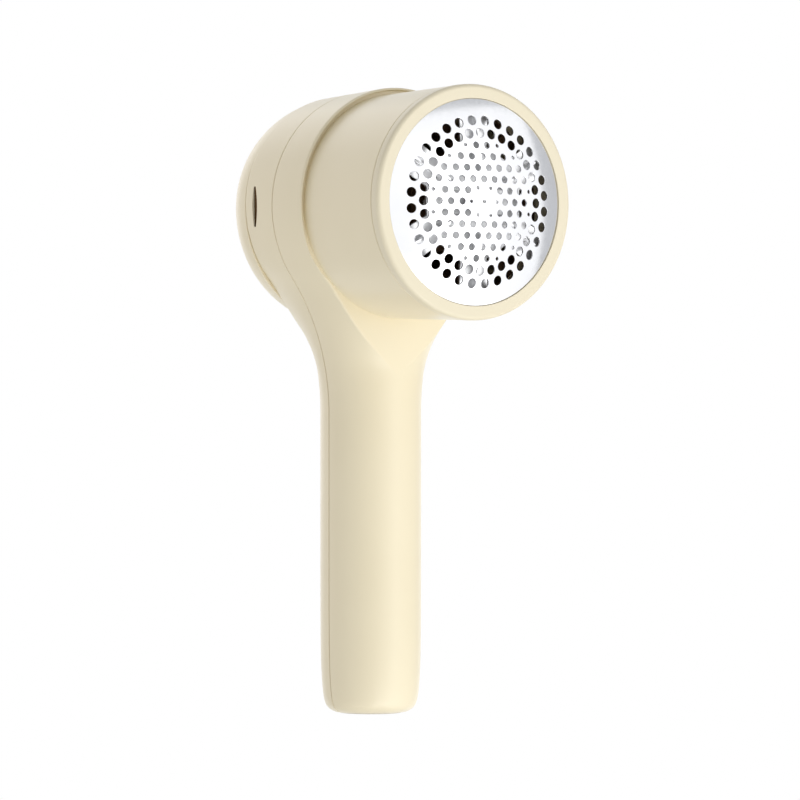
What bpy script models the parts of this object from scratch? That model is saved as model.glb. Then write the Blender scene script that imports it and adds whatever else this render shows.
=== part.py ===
"""Rechargeable fabric shaver.

Metres, +Z up. The origin is the centre of the handle's base. The head's axis is parallel to Y,
the perforated foil faces -Y and the lint bin is at +Y.
"""

import math

import bmesh
import bpy
from mathutils import Matrix, Vector
from mathutils.geometry import delaunay_2d_cdt

MM = 0.001

# Handle and head outline
HANDLE_R = 13.8 * MM
HEAD_R = 32.3 * MM
HEAD_Z = 138.0 * MM
FLARE_R = 62.0 * MM
HALF_DEPTH = 13.8 * MM
CREASE_START = -46.0 * MM
CREASE_GROWTH = 42.0
HEAD_LEAN = 0.04
WALL = 2.0 * MM
GAP = 0.3 * MM
SHELL_BASE_Z = 0.3 * MM
BASE_HOLE_R = 8.9 * MM

# Barrel, collar and foil, measured forward from the seam plane
BARREL_ROOT_R = 30.4 * MM
BARREL_TIP_R = 31.3 * MM
BARREL_BORE_R = 28.3 * MM
BARREL_TIP = 45.9 * MM
COLLAR_R = 31.4 * MM
COLLAR_FRONT = 49.3 * MM
COLLAR_ROUND = 1.2 * MM
FOIL_R = 27.5 * MM
FOIL_RIM = 49.0 * MM
FOIL_RISE = 4.5 * MM
FOIL_THICKNESS = 0.4 * MM

# Foil holes
RING_HOLES = 32
OUTER_RING_R = 21.7 * MM
INNER_RING_R = 18.3 * MM
RING_HOLE_R = 1.3 * MM
LATTICE_PITCH = 3.46 * MM
LATTICE_ROW = 3.0 * MM
LARGE_HOLE_R = 0.95 * MM
SMALL_HOLE_R = 0.5 * MM

# Bayonet between barrel and collar
BAYONET_COUNT = 3
BAYONET_ANGLE = 22.0
SPIGOT_R = 27.2 * MM

# Lint path and bin
DUCT_R = 23.6 * MM
DUCT_BORE_R = 22.4 * MM
BIN_OPENING_R = 24.5 * MM
BIN_SPIGOT_R = 24.2 * MM
BIN_SPIGOT_BORE_R = 22.7 * MM
BIN_FACE_Y = HALF_DEPTH + GAP
BIN_R = 31.9 * MM
BIN_EDGE_RADIAL = 12.0 * MM
BIN_EDGE_AXIAL = 13.9 * MM
BIN_CROWN = 0.6 * MM
BIN_WALL = 1.8 * MM

# Side slots of the rear shell
SLOT_HEIGHT = 11.0 * MM
SLOT_REAR_Y = 9.9 * MM
SLOT_END_WIDTH = 0.9 * MM
SLOT_WIDTH = 2.3 * MM
SLOT_CORNER = 0.35 * MM

# Housing screws
SCREW_CIRCLE_R = 27.4 * MM
BOSS_R = 2.5 * MM
BOSS_BORE_R = 1.4 * MM
SCREW_SHANK_R = 1.1 * MM
SCREW_HEAD_R = 2.1 * MM

# Motor
MOTOR_R = 12.2 * MM
MOTOR_REAR = 8.0 * MM
MOTOR_FRONT = 36.0 * MM
SHAFT_R = 1.0 * MM
SHAFT_BORE_R = 1.08 * MM
MOTOR_SCREW_X = 8.0 * MM
MOUNT_PLATE = 2.0 * MM

# Cutter
CUTTER_LEAVES = 6
CUTTER_DISC_R = 15.5 * MM
CUTTER_TIP_R = 24.0 * MM
CUTTER_REAR = 47.6 * MM
CUTTER_THICKNESS = 0.8 * MM

# Handle contents
CELL_R = 9.15 * MM
CELL_Y = -1.5 * MM
CELL_BOTTOM = 11.0 * MM
CELL_TOP = 76.0 * MM
BOARD_Y = 3.0 * MM
BOARD_THICKNESS = 1.2 * MM
BUTTON_Z = 96.0 * MM
BUTTON_R = 4.8 * MM
LENS_Z = 86.0 * MM
LENS_R = 1.2 * MM
PORT_Y = 4.6 * MM
WIRE_R = 0.55 * MM

# Resolution
BODY_ARC_STEPS = 9
ROUND_STEPS = 40
SMALL_STEPS = 24

CREAM = (0.83, 0.76, 0.60)

FLARE_DROP = math.sqrt((HEAD_R + FLARE_R) ** 2 - (HANDLE_R + FLARE_R) ** 2)
FORWARD = Matrix.Translation((0, 0, HEAD_Z)) @ Matrix.Rotation(math.radians(90), 4, "X")
BACKWARD = Matrix.Translation((0, 0, HEAD_Z)) @ Matrix.Rotation(math.radians(-90), 4, "X")


# ---------------------------------------------------------------- scene and helpers


def clear_scene():
    for obj in list(bpy.data.objects):
        bpy.data.objects.remove(obj, do_unlink=True)


def new_collection(name):
    collection = bpy.data.collections.new(name)
    bpy.context.scene.collection.children.link(collection)
    return collection


clear_scene()
PARTS = new_collection("fabric_shaver")
CUTTERS = new_collection("cutters")


def material(name, color, roughness, metallic=0.0):
    made = bpy.data.materials.new(name)
    made.use_nodes = True
    shader = made.node_tree.nodes["Principled BSDF"]
    shader.inputs["Base Color"].default_value = (*color, 1.0)
    shader.inputs["Roughness"].default_value = roughness
    shader.inputs["Metallic"].default_value = metallic
    return made


def add_object(name, data, finish=None, parent=None, matrix=None):
    """A part when it has a finish, a cutter when it has none."""
    obj = bpy.data.objects.new(name, data)
    if finish is None:
        CUTTERS.objects.link(obj)
        obj.hide_render = True
        obj.display_type = "WIRE"
    else:
        PARTS.objects.link(obj)
        data.materials.append(finish)
    obj.parent = parent
    obj.matrix_local = matrix if matrix is not None else Matrix.Identity(4)
    return obj


def pivot(name, location):
    """An empty on a joint's axis, which carries the pieces that move with it."""
    empty = bpy.data.objects.new(name, None)
    PARTS.objects.link(empty)
    empty.location = location
    return empty


def under(parent, matrix):
    """A world matrix as seen from a parent that is only moved, not turned."""
    return Matrix.Translation(-parent.location) @ matrix if parent else matrix


def mesh_from(name, build):
    """A mesh filled by build(bm), shaded smooth below a 35 degree angle."""
    mesh = bpy.data.meshes.new(name)
    bm = bmesh.new()
    build(bm)
    bm.to_mesh(mesh)
    bm.free()
    mesh.shade_smooth()
    mesh.set_sharp_from_angle(angle=math.radians(35))
    return mesh


def box(name, low, high, finish=None, parent=None, turn=None):
    """A box between two corners in millimetres; turn is applied about the world origin."""
    low = Vector(low) * MM
    high = Vector(high) * MM

    def build(bm):
        place = Matrix.Translation((low + high) / 2) @ Matrix.Diagonal((*(high - low), 1))
        bmesh.ops.create_cube(bm, size=1.0, matrix=place)
        if turn is not None:
            bmesh.ops.transform(bm, matrix=turn, verts=bm.verts)

    return add_object(name, mesh_from(name, build), finish, parent, under(parent, Matrix.Identity(4)))


def cylinder(name, radius, low, high, matrix, finish=None, parent=None, steps=SMALL_STEPS):
    """A cylinder along the matrix's Z axis, from low to high."""

    def build(bm):
        centre = Matrix.Translation((0, 0, (low + high) / 2))
        bmesh.ops.create_cone(
            bm,
            cap_ends=True,
            segments=steps,
            radius1=radius,
            radius2=radius,
            depth=high - low,
            matrix=centre,
        )

    return add_object(name, mesh_from(name, build), finish, parent, under(parent, matrix))


def turned(name, profile, matrix, finish=None, parent=None, steps=ROUND_STEPS):
    """A profile of (radius, height) points turned once round the matrix's Z axis.

    It runs from the top down its outer side and back up its inner side; a ring's profile is closed.
    """
    on_axis = profile[0][0] == 0.0 and profile[-1][0] == 0.0
    mesh = bpy.data.meshes.new(name)
    count = len(profile)
    edges = [(i, i + 1) for i in range(count - 1)]
    if not on_axis:
        edges.append((count - 1, 0))
    mesh.from_pydata([(radius, 0.0, height) for radius, height in profile], edges, [])
    obj = add_object(name, mesh, finish, parent, under(parent, matrix))
    screw = obj.modifiers.new("turn", "SCREW")
    screw.steps = steps
    screw.render_steps = steps
    screw.use_merge_vertices = True
    screw.merge_threshold = 0.00001
    screw.use_smooth_shade = False
    return obj


def boolean(obj, other, operation="DIFFERENCE"):
    """Cut with another object, or join it on. The thin shells leave EXACT with open edges."""
    modifier = obj.modifiers.new(f"{operation.lower()}_{other.name}"[:60], "BOOLEAN")
    modifier.operation = operation
    modifier.object = other
    modifier.solver = "MANIFOLD" if obj.name.endswith("_shell") else "EXACT"


def outline(name, loops, thickness, matrix, finish=None, parent=None):
    """A flat plate from closed loops of (x, y) points, centred on the matrix's XY plane."""
    curve = bpy.data.curves.new(name, "CURVE")
    curve.dimensions = "2D"
    curve.fill_mode = "BOTH"
    curve.extrude = thickness / 2
    for loop in loops:
        spline = curve.splines.new("POLY")
        spline.points.add(len(loop) - 1)
        for point, (x, y) in zip(spline.points, loop):
            point.co = (x, y, 0.0, 1.0)
        spline.use_cyclic_u = True
    return add_object(name, curve, finish, parent, under(parent, matrix))


def to_mesh(obj, weld=0.000002):
    """The curve object made a mesh object of the same name, with its caps welded."""
    graph = bpy.context.evaluated_depsgraph_get()
    mesh = bpy.data.meshes.new_from_object(obj.evaluated_get(graph))
    bm = bmesh.new()
    bm.from_mesh(mesh)
    bmesh.ops.remove_doubles(bm, verts=bm.verts, dist=weld)
    bm.to_mesh(mesh)
    bm.free()
    name = obj.name
    parent = obj.parent
    matrix = obj.matrix_local.copy()
    finish = obj.data.materials[0] if obj.data.materials else None
    mesh.materials.clear()
    bpy.data.objects.remove(obj, do_unlink=True)
    return add_object(name, mesh, finish, parent, matrix)


def circle(radius, steps, centre=(0.0, 0.0), start=0.0):
    angles = [start + 2 * math.pi * i / steps for i in range(steps)]
    return [(centre[0] + radius * math.cos(a), centre[1] + radius * math.sin(a)) for a in angles]


def stadium(width, height, steps, centre=(0.0, 0.0)):
    """A slot outline: two straight sides and two half-round ends."""
    radius = height / 2
    reach = width / 2 - radius
    points = []
    for side, first in ((1, -90), (-1, 90)):
        for i in range(steps + 1):
            angle = math.radians(first + 180 * i / steps)
            x = centre[0] + side * reach + radius * math.cos(angle)
            points.append((x, centre[1] + radius * math.sin(angle)))
    return points


def sector(name, inner, outer, low, high, middle_deg, sweep_deg, matrix, finish=None, parent=None, steps=4):
    """A block between two radii, two heights and two angles round the matrix's Z axis."""

    def build(bm):
        rings = []
        for i in range(steps + 1):
            angle = math.radians(middle_deg + sweep_deg * (i / steps - 0.5))
            corners = ((inner, low), (outer, low), (outer, high), (inner, high))
            ring = [(r * math.cos(angle), r * math.sin(angle), h) for r, h in corners]
            rings.append([bm.verts.new(point) for point in ring])
        for first, second in zip(rings, rings[1:]):
            for i in range(4):
                j = (i + 1) % 4
                bm.faces.new((first[i], first[j], second[j], second[i]))
        bm.faces.new(rings[0][::-1])
        bm.faces.new(rings[-1])
        bmesh.ops.recalc_face_normals(bm, faces=bm.faces)

    return add_object(name, mesh_from(name, build), finish, parent, under(parent, matrix))


def wire(name, points, finish, radius=WIRE_R):
    """A round wire through points in millimetres, smoothed into one curve."""
    knots = [Vector(point) * MM for point in points]
    knots = [knots[0] * 2 - knots[1]] + knots + [knots[-1] * 2 - knots[-2]]
    path = []
    for a, b, c, d in zip(knots, knots[1:], knots[2:], knots[3:]):
        pieces = max(2, min(5, round((c - b).length / (6 * MM))))
        for i in range(pieces):
            t = i / pieces
            tangent_in = (c - a) / 2
            tangent_out = (d - b) / 2
            h1 = 2 * t**3 - 3 * t**2 + 1
            h2 = t**3 - 2 * t**2 + t
            h3 = -2 * t**3 + 3 * t**2
            h4 = t**3 - t**2
            path.append(b * h1 + tangent_in * h2 + c * h3 + tangent_out * h4)
    path.append(knots[-2])
    curve = bpy.data.curves.new(name, "CURVE")
    curve.dimensions = "3D"
    curve.bevel_depth = radius
    curve.bevel_resolution = 1
    curve.use_fill_caps = True
    spline = curve.splines.new("POLY")
    spline.points.add(len(path) - 1)
    for point, place in zip(spline.points, path):
        point.co = (*place, 1.0)
    return add_object(name, curve, finish)


# ---------------------------------------------------------------- housing shape


def base_rounding(z):
    """How far the handle's surface draws in near its base: a short round and a long taper."""
    short = 3.2 * MM * math.exp(-z / (1.0 * MM))
    long = 1.7 * MM * math.exp(-z / (6.5 * MM))
    return short + long


def half_width(z, inset):
    """Half the outline's width seen from the front, for the outside or for a surface inset from it."""
    dz = z - HEAD_Z
    head = HEAD_R - inset
    flare = FLARE_R + inset
    tangent = -FLARE_DROP * head / (HEAD_R + FLARE_R)
    if dz > tangent:
        return math.sqrt(max(0.0, head**2 - dz**2))
    if dz > -FLARE_DROP:
        return HANDLE_R + FLARE_R - math.sqrt(flare**2 - (dz + FLARE_DROP) ** 2)
    return HANDLE_R - inset - base_rounding(z)


def half_thickness(z, inset):
    """The section's depth semi-axis, which grows above the crease's tip and is then cut flat."""
    rise = max(0.0, z - HEAD_Z - CREASE_START)
    return HANDLE_R - inset - base_rounding(z) + CREASE_GROWTH * rise**2


def leaned(y, z):
    """The top half of the head sinks a little from its front face to its rear face."""
    share = HEAD_LEAN * (y + HALF_DEPTH) / (2 * HALF_DEPTH)
    return z - share * max(0.0, z - HEAD_Z)


def body_section(z, inset):
    """One level section: an ellipse cut flat front and back."""
    a = half_width(z, inset)
    b = half_thickness(z, inset)
    limit = HALF_DEPTH - inset
    reach = math.asin(min(1.0, limit / b)) if b > limit else math.pi / 2
    right = []
    for i in range(BODY_ARC_STEPS + 1):
        angle = -reach + 2 * reach * i / BODY_ARC_STEPS
        y = b * math.sin(angle)
        right.append((a * math.cos(angle), y, leaned(y, z)))
    return right + [(-x, y, z) for x, y, z in reversed(right)]


def body_levels(bottom, inset, flare_steps, head_steps):
    """Heights of the sections: base rounding, handle, flare and the round head."""
    levels = [bottom + rise * MM for rise in (0.0, 0.6, 1.5, 3.0, 6.0, 12.0, 24.0)]
    tangent = math.asin(FLARE_DROP / (HEAD_R + FLARE_R))
    flare = FLARE_R + inset
    for i in range(flare_steps + 1):
        levels.append(HEAD_Z - FLARE_DROP + flare * math.sin(tangent * i / flare_steps))
    head = HEAD_R - inset
    for i in range(1, head_steps + 1):
        angle = -tangent + (math.pi / 2 + tangent) * i / head_steps
        levels.append(HEAD_Z + head * math.sin(angle))
    return levels


def body_loft(name, inset, bottom, flare_steps, head_steps):
    def build(bm):
        rings = []
        for z in body_levels(bottom, inset, flare_steps, head_steps):
            rings.append([bm.verts.new(point) for point in body_section(z, inset)])
        for lower, upper in zip(rings, rings[1:]):
            for i in range(len(lower)):
                j = (i + 1) % len(lower)
                bm.faces.new((lower[i], lower[j], upper[j], upper[i]))
        bm.faces.new(rings[0][::-1])
        bmesh.ops.remove_doubles(bm, verts=bm.verts, dist=0.00001)
        bmesh.ops.recalc_face_normals(bm, faces=bm.faces)

    return mesh_from(name, build)


def screw_places():
    """Centres of the four housing screws on the head, as (x, z)."""
    places = []
    for corner in range(4):
        angle = math.radians(45 + 90 * corner)
        places.append((SCREW_CIRCLE_R * math.cos(angle), HEAD_Z + SCREW_CIRCLE_R * math.sin(angle)))
    return places


def along_y(x, z):
    """A frame at (x, 0, z) whose Z axis points back, along +Y."""
    return Matrix.Translation((x, 0, z)) @ Matrix.Rotation(math.radians(-90), 4, "X")


def half_space(name, front):
    """A block that takes away everything behind or in front of the seam, half a gap beyond it."""
    far = 120
    half_gap = GAP / MM / 2
    if front:
        return box(name, (-far, -half_gap, -far), (far, far, 2 * far))
    return box(name, (-far, -far, -far), (far, half_gap, 2 * far))


def make_housing(cream):
    solid = body_loft("housing_outside", 0.0, SHELL_BASE_Z, 7, 15)
    cavity = add_object("housing_cavity", body_loft("housing_cavity", WALL, 2.3 * MM, 5, 11))
    barrel = turned(
        "barrel_outside",
        [
            (0.0, BARREL_TIP),
            (BARREL_TIP_R, BARREL_TIP),
            (BARREL_ROOT_R, HALF_DEPTH),
            (BARREL_ROOT_R, HALF_DEPTH - 1.0 * MM),
            (0.0, HALF_DEPTH - 1.0 * MM),
        ],
        FORWARD,
    )
    bore = cylinder("barrel_bore", BARREL_BORE_R, 11.0 * MM, 60.0 * MM, FORWARD, steps=ROUND_STEPS)
    base_hole = cylinder("base_hole", BASE_HOLE_R, -1 * MM, 5 * MM, Matrix.Identity(4), steps=ROUND_STEPS)

    front = add_object("front_shell", solid, cream)
    boolean(front, barrel, "UNION")
    boolean(front, half_space("behind_seam", True))
    boolean(front, base_hole)
    boolean(front, bore)
    boolean(front, cavity)
    for i, (x, z) in enumerate(screw_places()):
        place = along_y(x, z)
        boss = cylinder(f"front_boss_{i + 1}", BOSS_R, -12.3 * MM, -0.45 * MM, place, steps=12)
        hole = cylinder(f"front_boss_hole_{i + 1}", BOSS_BORE_R, -11.0 * MM, 1 * MM, place, steps=12)
        boolean(front, boss, "UNION")
        boolean(front, hole)
    for i in range(BAYONET_COUNT):
        rib = sector(
            f"bayonet_rib_{i + 1}",
            SPIGOT_R + GAP,
            BARREL_BORE_R + 0.8 * MM,
            43.0 * MM,
            45.2 * MM,
            90 + 360 / BAYONET_COUNT * i,
            BAYONET_ANGLE,
            FORWARD,
        )
        boolean(front, rib, "UNION")

    rear = add_object("rear_shell", solid.copy(), cream)
    rear.data.materials.clear()
    rear.data.materials.append(cream)
    boolean(rear, half_space("before_seam", False))
    boolean(rear, base_hole)
    boolean(rear, cavity)
    opening = cylinder("bin_opening", BIN_OPENING_R, 5 * MM, 20 * MM, BACKWARD, steps=ROUND_STEPS)
    boolean(rear, opening)
    for i, (x, z) in enumerate(screw_places()):
        place = along_y(x, z)
        boss = cylinder(f"rear_boss_{i + 1}", BOSS_R, 0.45 * MM, 12.3 * MM, place, steps=12)
        hole = cylinder(f"rear_boss_hole_{i + 1}", BOSS_BORE_R, -1 * MM, 20 * MM, place, steps=12)
        sink = cylinder(f"screw_recess_{i + 1}", SCREW_HEAD_R + GAP, 12.5 * MM, 20 * MM, place, steps=12)
        boolean(rear, boss, "UNION")
        boolean(rear, hole)
        boolean(rear, sink)
    boolean(rear, cylinder("button_hole", BUTTON_R + GAP, 5 * MM, 20 * MM, along_y(0, BUTTON_Z)))
    boolean(rear, cylinder("lens_hole", LENS_R + GAP, 5 * MM, 20 * MM, along_y(0, LENS_Z), steps=12))
    for side in (1, -1):
        boolean(rear, side_slot(side))


def side_slot(side):
    """A slim slot through the side of the rear shell: straight behind, bowed in front."""
    half = SLOT_HEIGHT / 2
    cut = SLOT_CORNER
    front = SLOT_REAR_Y - SLOT_END_WIDTH
    points = [(SLOT_REAR_Y, half - cut), (SLOT_REAR_Y, cut - half), (SLOT_REAR_Y - cut, -half)]
    steps = 6
    for i in range(steps + 1):
        t = 2 * i / steps - 1
        bow = (SLOT_WIDTH - SLOT_END_WIDTH) * (1 - t**2)
        points.append((front - bow, (half - cut) * t))
    points.append((SLOT_REAR_Y - cut, half))
    turn = Matrix(((0, 0, 1, 0), (1, 0, 0, 0), (0, 1, 0, 0), (0, 0, 0, 1)))
    place = Matrix.Translation((side * (HEAD_R - WALL / 2), 0, HEAD_Z)) @ turn
    name = "side_slot_right" if side > 0 else "side_slot_left"
    return to_mesh(outline(name, [points], 6.0 * MM, place))


# ---------------------------------------------------------------- foil cap


def dome(r):
    """Height of the foil's outside at a radius."""
    sphere = (FOIL_R**2 + FOIL_RISE**2) / (2 * FOIL_RISE)
    return FOIL_RIM + math.sqrt(sphere**2 - r**2) - (sphere - FOIL_RISE)


def foil_holes():
    """Every hole of the foil as (x, y, radius): two rings round a triangular lattice."""
    holes = []
    half_step = math.pi / RING_HOLES
    for i in range(RING_HOLES):
        angle = math.pi / 2 + (2 * i + 1) * half_step
        holes.append((OUTER_RING_R * math.cos(angle), OUTER_RING_R * math.sin(angle), RING_HOLE_R))
        angle -= half_step
        holes.append((INNER_RING_R * math.cos(angle), INNER_RING_R * math.sin(angle), RING_HOLE_R))
    # (holes on one side of the middle, small holes among them counted from the rim)
    rows = {0: (4, 0), 1: (5, 1), 2: (4, 0), 3: (4, 0), 4: (3, 1), 5: (2, 1)}
    core_r = 4.13 * MM
    for row, (count, small_at_rim) in rows.items():
        for sign in (1, -1) if row else (1,):
            for i in range(-count, count + 1):
                if row % 2 and i == 0:
                    continue
                offset = i - math.copysign(0.5, i) if row % 2 else i
                x = offset * LATTICE_PITCH
                y = sign * row * LATTICE_ROW
                radius = LARGE_HOLE_R
                if abs(i) > count - small_at_rim:
                    radius = SMALL_HOLE_R
                reach = math.hypot(x, y)
                if reach < LATTICE_PITCH * 1.1:
                    radius = SMALL_HOLE_R
                    if reach > 0:
                        x *= core_r / reach
                        y *= core_r / reach
                holes.append((x, y, radius))
    return holes


def make_foil(cap, steel):
    """An open dome with its holes left out of the triangulation, then thickened."""
    holes = foil_holes()
    loops = [circle(FOIL_R, ROUND_STEPS)]
    for x, y, radius in holes:
        steps = 7 if radius > LARGE_HOLE_R else 6
        loops.append(circle(radius, steps, (x, y), math.atan2(y, x)))
    points = []
    edges = []
    for loop in loops:
        first = len(points)
        points += [Vector(point) for point in loop]
        edges += [(first + i, first + (i + 1) % len(loop)) for i in range(len(loop))]
    verts, _, faces, _, _, _ = delaunay_2d_cdt(points, edges, [], 0, 1e-7)

    def in_hole(face):
        middle = sum((verts[i] for i in face), Vector((0, 0))) / len(face)
        return any(math.hypot(middle.x - x, middle.y - y) < radius * 0.9 for x, y, radius in holes)

    mesh = bpy.data.meshes.new("foil")
    surface = [(v.x, v.y, dome(v.length)) for v in verts]
    mesh.from_pydata(surface, [], [face for face in faces if not in_hole(face)])
    foil = add_object("foil", mesh, steel, cap, under(cap, FORWARD))
    thick = foil.modifiers.new("thickness", "SOLIDIFY")
    thick.thickness = FOIL_THICKNESS
    thick.offset = -1.0


def make_foil_cap(cream, steel):
    cap = pivot("foil_cap_pivot", (0, -BARREL_TIP, HEAD_Z))
    rear_face = BARREL_TIP + GAP
    seat = FOIL_RIM - FOIL_THICKNESS - GAP
    lip_r = FOIL_R + GAP
    ledge_r = 26.2 * MM
    spigot_end = 40.4 * MM
    collar = turned(
        "foil_collar",
        [
            (lip_r, COLLAR_FRONT),
            (COLLAR_R - COLLAR_ROUND, COLLAR_FRONT),
            (COLLAR_R - 0.3 * COLLAR_ROUND, COLLAR_FRONT - 0.3 * COLLAR_ROUND),
            (COLLAR_R, COLLAR_FRONT - COLLAR_ROUND),
            (COLLAR_R, rear_face),
            (SPIGOT_R, rear_face),
            (SPIGOT_R, spigot_end),
            (ledge_r - 0.2 * MM, spigot_end),
            (ledge_r, seat),
            (lip_r, seat),
        ],
        FORWARD,
        cream,
        cap,
    )
    for i in range(BAYONET_COUNT):
        lug = sector(
            f"bayonet_lug_{i + 1}",
            SPIGOT_R - 0.6 * MM,
            BARREL_BORE_R - GAP,
            40.8 * MM,
            42.4 * MM,
            90 + 360 / BAYONET_COUNT * i,
            BAYONET_ANGLE,
            FORWARD,
        )
        boolean(collar, lug, "UNION")
    make_foil(cap, steel)


# ---------------------------------------------------------------- motor and cutter


def make_motor(steel, black, brass, dark, zinc):
    wall = 0.9 * MM
    bushing_r = 3.0 * MM
    can = turned(
        "motor_can",
        [
            (bushing_r + GAP, MOTOR_FRONT),
            (MOTOR_R - 0.8 * MM, MOTOR_FRONT),
            (MOTOR_R, MOTOR_FRONT - 0.8 * MM),
            (MOTOR_R, MOTOR_REAR),
            (MOTOR_R - wall, MOTOR_REAR),
            (MOTOR_R - wall, MOTOR_FRONT - wall),
            (bushing_r + GAP, MOTOR_FRONT - wall),
        ],
        FORWARD,
        zinc,
        steps=36,
    )
    turned(
        "motor_end_bell",
        [
            (SHAFT_BORE_R, MOTOR_REAR + 1.6 * MM),
            (MOTOR_R - wall - GAP, MOTOR_REAR + 1.6 * MM),
            (MOTOR_R - wall - GAP, MOTOR_REAR - GAP),
            (MOTOR_R - 0.2 * MM, MOTOR_REAR - GAP),
            (MOTOR_R - 0.2 * MM, 5.2 * MM),
            (4.2 * MM, 5.2 * MM),
            (4.2 * MM, 3.8 * MM),
            (SHAFT_BORE_R, 3.8 * MM),
        ],
        FORWARD,
        black,
        steps=24,
    )
    turned(
        "motor_bushing",
        [
            (bushing_r, 37.9 * MM),
            (bushing_r, 34.0 * MM),
            (SHAFT_BORE_R, 34.0 * MM),
            (SHAFT_BORE_R, 37.9 * MM),
        ],
        FORWARD,
        brass,
        steps=24,
    )
    for side, word in ((1, "right"), (-1, "left")):
        sector(
            f"motor_magnet_{word}",
            9.3 * MM,
            11.0 * MM,
            14.0 * MM,
            32.0 * MM,
            90 - 90 * side,
            120,
            FORWARD,
            dark,
            steps=6,
        )
        box(
            f"motor_terminal_{word}",
            (side * 7 - 1.1, -4.9, 135.4),
            (side * 7 + 1.1, -1.4, 135.9),
            brass,
        )
        hole = cylinder(
            f"motor_screw_hole_{word}",
            SCREW_SHANK_R + 0.2 * MM,
            30 * MM,
            45 * MM,
            FORWARD @ Matrix.Translation((side * MOTOR_SCREW_X, 0, 0)),
            steps=12,
        )
        boolean(can, hole)
        turned(
            f"motor_screw_{word}",
            [
                (0.0, 39.5 * MM),
                (1.5 * MM, 39.5 * MM),
                (1.9 * MM, 39.1 * MM),
                (1.9 * MM, 38.6 * MM),
                (1.0 * MM, 38.6 * MM),
                (1.0 * MM, 34.2 * MM),
                (0.0, 34.2 * MM),
            ],
            FORWARD @ Matrix.Translation((side * MOTOR_SCREW_X, 0, 0)),
            steel,
            steps=12,
        )


def make_motor_mount(brown):
    """Plate, four arms and a rim: it centres the motor in the barrel and leaves room for lint to pass."""
    rear = MOTOR_FRONT + GAP
    front = rear + MOUNT_PLATE
    rim_r = BARREL_BORE_R - GAP
    mount = turned(
        "motor_mount",
        [
            (rim_r, front + 0.6 * MM),
            (rim_r, rear - 4.0 * MM),
            (rim_r - 1.4 * MM, rear - 4.0 * MM),
            (rim_r - 1.4 * MM, front + 0.6 * MM),
        ],
        FORWARD,
        brown,
    )
    plate = cylinder("mount_plate", 13.4 * MM, rear, front, FORWARD, steps=36)
    for i in range(4):
        spoke = Matrix.Rotation(math.radians(45 + 90 * i), 4, "Z")
        low = (11.0, -1.6, rear / MM)
        high = (rim_r / MM - 0.7, 1.6, front / MM)
        arm = box(f"mount_arm_{i + 1}", low, high, turn=spoke)
        arm.matrix_local = FORWARD
        boolean(mount, arm, "UNION")
    boolean(mount, plate, "UNION")
    boolean(mount, cylinder("mount_bore", 3.3 * MM, 30 * MM, 45 * MM, FORWARD))
    for word in ("right", "left"):
        boolean(mount, bpy.data.objects[f"motor_screw_hole_{word}"])


def make_rotor(steel, black, copper, bright):
    rotor = pivot("rotor_pivot", (0, 0, HEAD_Z))
    cylinder("motor_shaft", SHAFT_R, 3.2 * MM, 44.6 * MM, FORWARD, steel, rotor)
    armature = cylinder("armature", 8.7 * MM, 14.0 * MM, 32.0 * MM, FORWARD, copper, rotor, steps=36)
    boolean(armature, cylinder("armature_bore", SHAFT_R + 0.15 * MM, 10 * MM, 36 * MM, FORWARD))
    for i in range(3):
        turn = Matrix.Rotation(math.radians(90 + 120 * i), 4, "Z")
        slot = box(f"armature_slot_{i + 1}", (4.2, -1.1, 10.0), (12.0, 1.1, 36.0), turn=turn)
        slot.matrix_local = FORWARD
        boolean(armature, slot)
    turned(
        "commutator",
        [
            (2.8 * MM, 13.2 * MM),
            (2.8 * MM, 10.2 * MM),
            (SHAFT_R + 0.15 * MM, 10.2 * MM),
            (SHAFT_R + 0.15 * MM, 13.2 * MM),
        ],
        FORWARD,
        copper,
        rotor,
        steps=12,
    )
    turned(
        "cutter_hub",
        [
            (SHAFT_R + 0.15 * MM, CUTTER_REAR - GAP),
            (7.5 * MM, CUTTER_REAR - GAP),
            (7.5 * MM, CUTTER_REAR - 1.5 * MM),
            (4.4 * MM, CUTTER_REAR - 2.5 * MM),
            (4.0 * MM, 41.0 * MM),
            (SHAFT_R + 0.15 * MM, 41.0 * MM),
        ],
        FORWARD,
        black,
        rotor,
        steps=24,
    )
    turned(
        "cutter_screw",
        [
            (0.0, 50.3 * MM),
            (1.6 * MM, 50.3 * MM),
            (2.6 * MM, 49.7 * MM),
            (2.6 * MM, 49.1 * MM),
            (0.9 * MM, 49.1 * MM),
            (0.9 * MM, 45.0 * MM),
            (0.0, 45.0 * MM),
        ],
        FORWARD,
        steel,
        rotor,
        steps=18,
    )
    make_cutter(rotor, bright)


def cutter_outline():
    """A disc with six leaves: each leaf is a wedge that narrows towards its round tip."""
    points = []
    root_half = math.radians(16)
    tip_half = math.radians(11)
    for leaf in range(CUTTER_LEAVES):
        middle = math.radians(90 + 360 / CUTTER_LEAVES * leaf)
        points.append((CUTTER_DISC_R, middle - root_half))
        for i in range(5):
            points.append((CUTTER_TIP_R, middle - tip_half + 2 * tip_half * i / 4))
        points.append((CUTTER_DISC_R, middle + root_half))
        valley = middle + math.radians(180 / CUTTER_LEAVES)
        points.append((CUTTER_DISC_R * 0.985, valley))
    return [(r * math.cos(angle), r * math.sin(angle)) for r, angle in points]


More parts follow.
